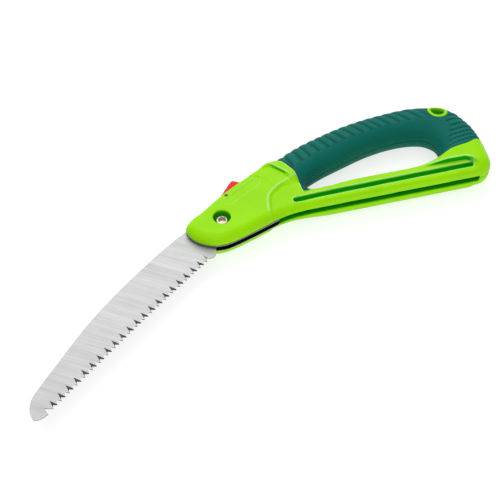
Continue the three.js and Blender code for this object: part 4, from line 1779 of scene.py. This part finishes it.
class CarriedNodes:
    """The frame's own nodes that keep their shape and get a finish."""

    FINISHES = {
        "pivot_nut": Finish.bright_steel,
        "pivot_bushing": Finish.bronze,
        "washer_left": Finish.bronze,
        "washer_right": Finish.bronze,
        "liner_left": Finish.liner_steel,
        "liner_right": Finish.liner_steel,
        "stop_pin": Finish.dark_steel,
        "lock_lever": Finish.plate_steel,
        "lever_pin": Finish.dark_steel,
    }

    def __init__(self, palette: Palette) -> None:
        """Keeps the palette."""
        self.palette = palette

    def build(self) -> None:
        """Gives each node its material."""
        for name, finish in self.FINISHES.items():
            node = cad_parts[name]
            if not node.material_slots:
                node.data.materials.append(self.palette[finish])
            for slot in node.material_slots:
                slot.material = self.palette[finish]
            log.info("%s: finish %s", name, finish.name)


# ---------------------------------------------------------------- studio


@dataclass
class Studio:
    """Pale floor, soft lights, pale surroundings and the camera."""

    workshop: Workshop
    camera_at: Place = (-98.7, -477.7, 547.8)
    look: Place = (0.1583, 0.6257, -0.7638)
    right: Place = (0.969, -0.245, 0.0)
    lens: float = 68.4
    sensor: float = 36.0
    floor_half: float = 6.0
    glow: float = 0.7  # the floor's own light
    world_light: float = 0.5
    lamps: tuple[tuple[str, Place, float, float], ...] = (
        ("key", (0.1, 1.3, 1.5), 1.6, 17.0),
        ("overhead", (-0.4, 0.0, 1.9), 1.8, 6.5),
        ("front", (-0.5, -1.4, 1.5), 0.9, 6.5),
    )

    def camera(self) -> None:
        """Sets the camera."""
        data = bpy.data.cameras.new("camera")
        data.lens = self.lens
        data.sensor_width = self.sensor
        data.clip_end = 20.0
        made = linked("camera", data)
        forward = Vector(self.look).normalized()
        across = Vector(self.right)
        across = (across - forward * across.dot(forward)).normalized()
        up = across.cross(forward)
        turn = Matrix((across, up, -forward)).transposed()
        place = self.workshop.pivot + Vector(self.camera_at) * MM
        made.matrix_world = Matrix.Translation(place) @ turn.to_4x4()
        bpy.context.scene.camera = made

    def light(self, name: str, place: Place, size: float, power: float) -> None:
        """Sets a square soft light that faces the frame's origin.

        Args:
            name: the light's name.
            place: where it stands, in metres.
            size: length of its side.
            power: its strength in watts.
        """
        data = bpy.data.lights.new(name, "AREA")
        data.shape = "SQUARE"
        data.size = size
        data.energy = power
        made = linked(name, data)
        made.location = place
        made.rotation_euler = (-Vector(place)).to_track_quat("-Z", "Y").to_euler()

    def floor(self) -> None:
        """Lays the floor."""
        side = self.floor_half
        mesh = bpy.data.meshes.new("floor")
        corners = [(-side, -side, 0.0), (side, -side, 0.0), (side, side, 0.0), (-side, side, 0.0)]
        mesh.from_pydata(corners, [], [(0, 1, 2, 3)])
        made = linked("floor", mesh)
        graph = Graph("floor_paper")
        grain = graph.noise(graph.place(), 300.0)
        graph.set(
            Base_Color=(0.4, 0.4, 0.4),
            Roughness=0.85 + 0.1 * grain,
            Specular_IOR_Level=0.1,
            Emission_Color=(1.0, 1.0, 1.0),
            Emission_Strength=self.glow,
        )
        made.data.materials.append(graph.material)

    def surroundings(self) -> None:
        """Lights the world evenly."""
        world = bpy.data.worlds.new("studio")
        world.use_nodes = True
        background = world.node_tree.nodes["Background"]
        background.inputs[0].default_value = (1.0, 1.0, 1.0, 1.0)
        background.inputs[1].default_value = self.world_light
        bpy.context.scene.world = world
        bpy.context.scene.view_settings.view_transform = "Standard"

    def build(self) -> None:
        """Sets up everything."""
        self.camera()
        self.floor()
        for lamp in self.lamps:
            self.light(*lamp)
        self.surroundings()


def main() -> None:
    """Builds the saw's looks piece by piece, and the studio around it."""
    logging.basicConfig(level=logging.INFO, format="%(name)s: %(message)s")
    workshop = Workshop(Palette())
    handle = Handle(workshop)
    Studio(workshop).build()
    for part in (
        handle,
        Blade(workshop),
        PivotScrew(workshop),
        ThumbButton(workshop),
        LockSpring(workshop),
        ShellScrews(workshop, handle.screws),
        GripDots(workshop),
        CarriedNodes(workshop.palette),
    ):
        part.build()


if __name__ == "__main__":
    main()
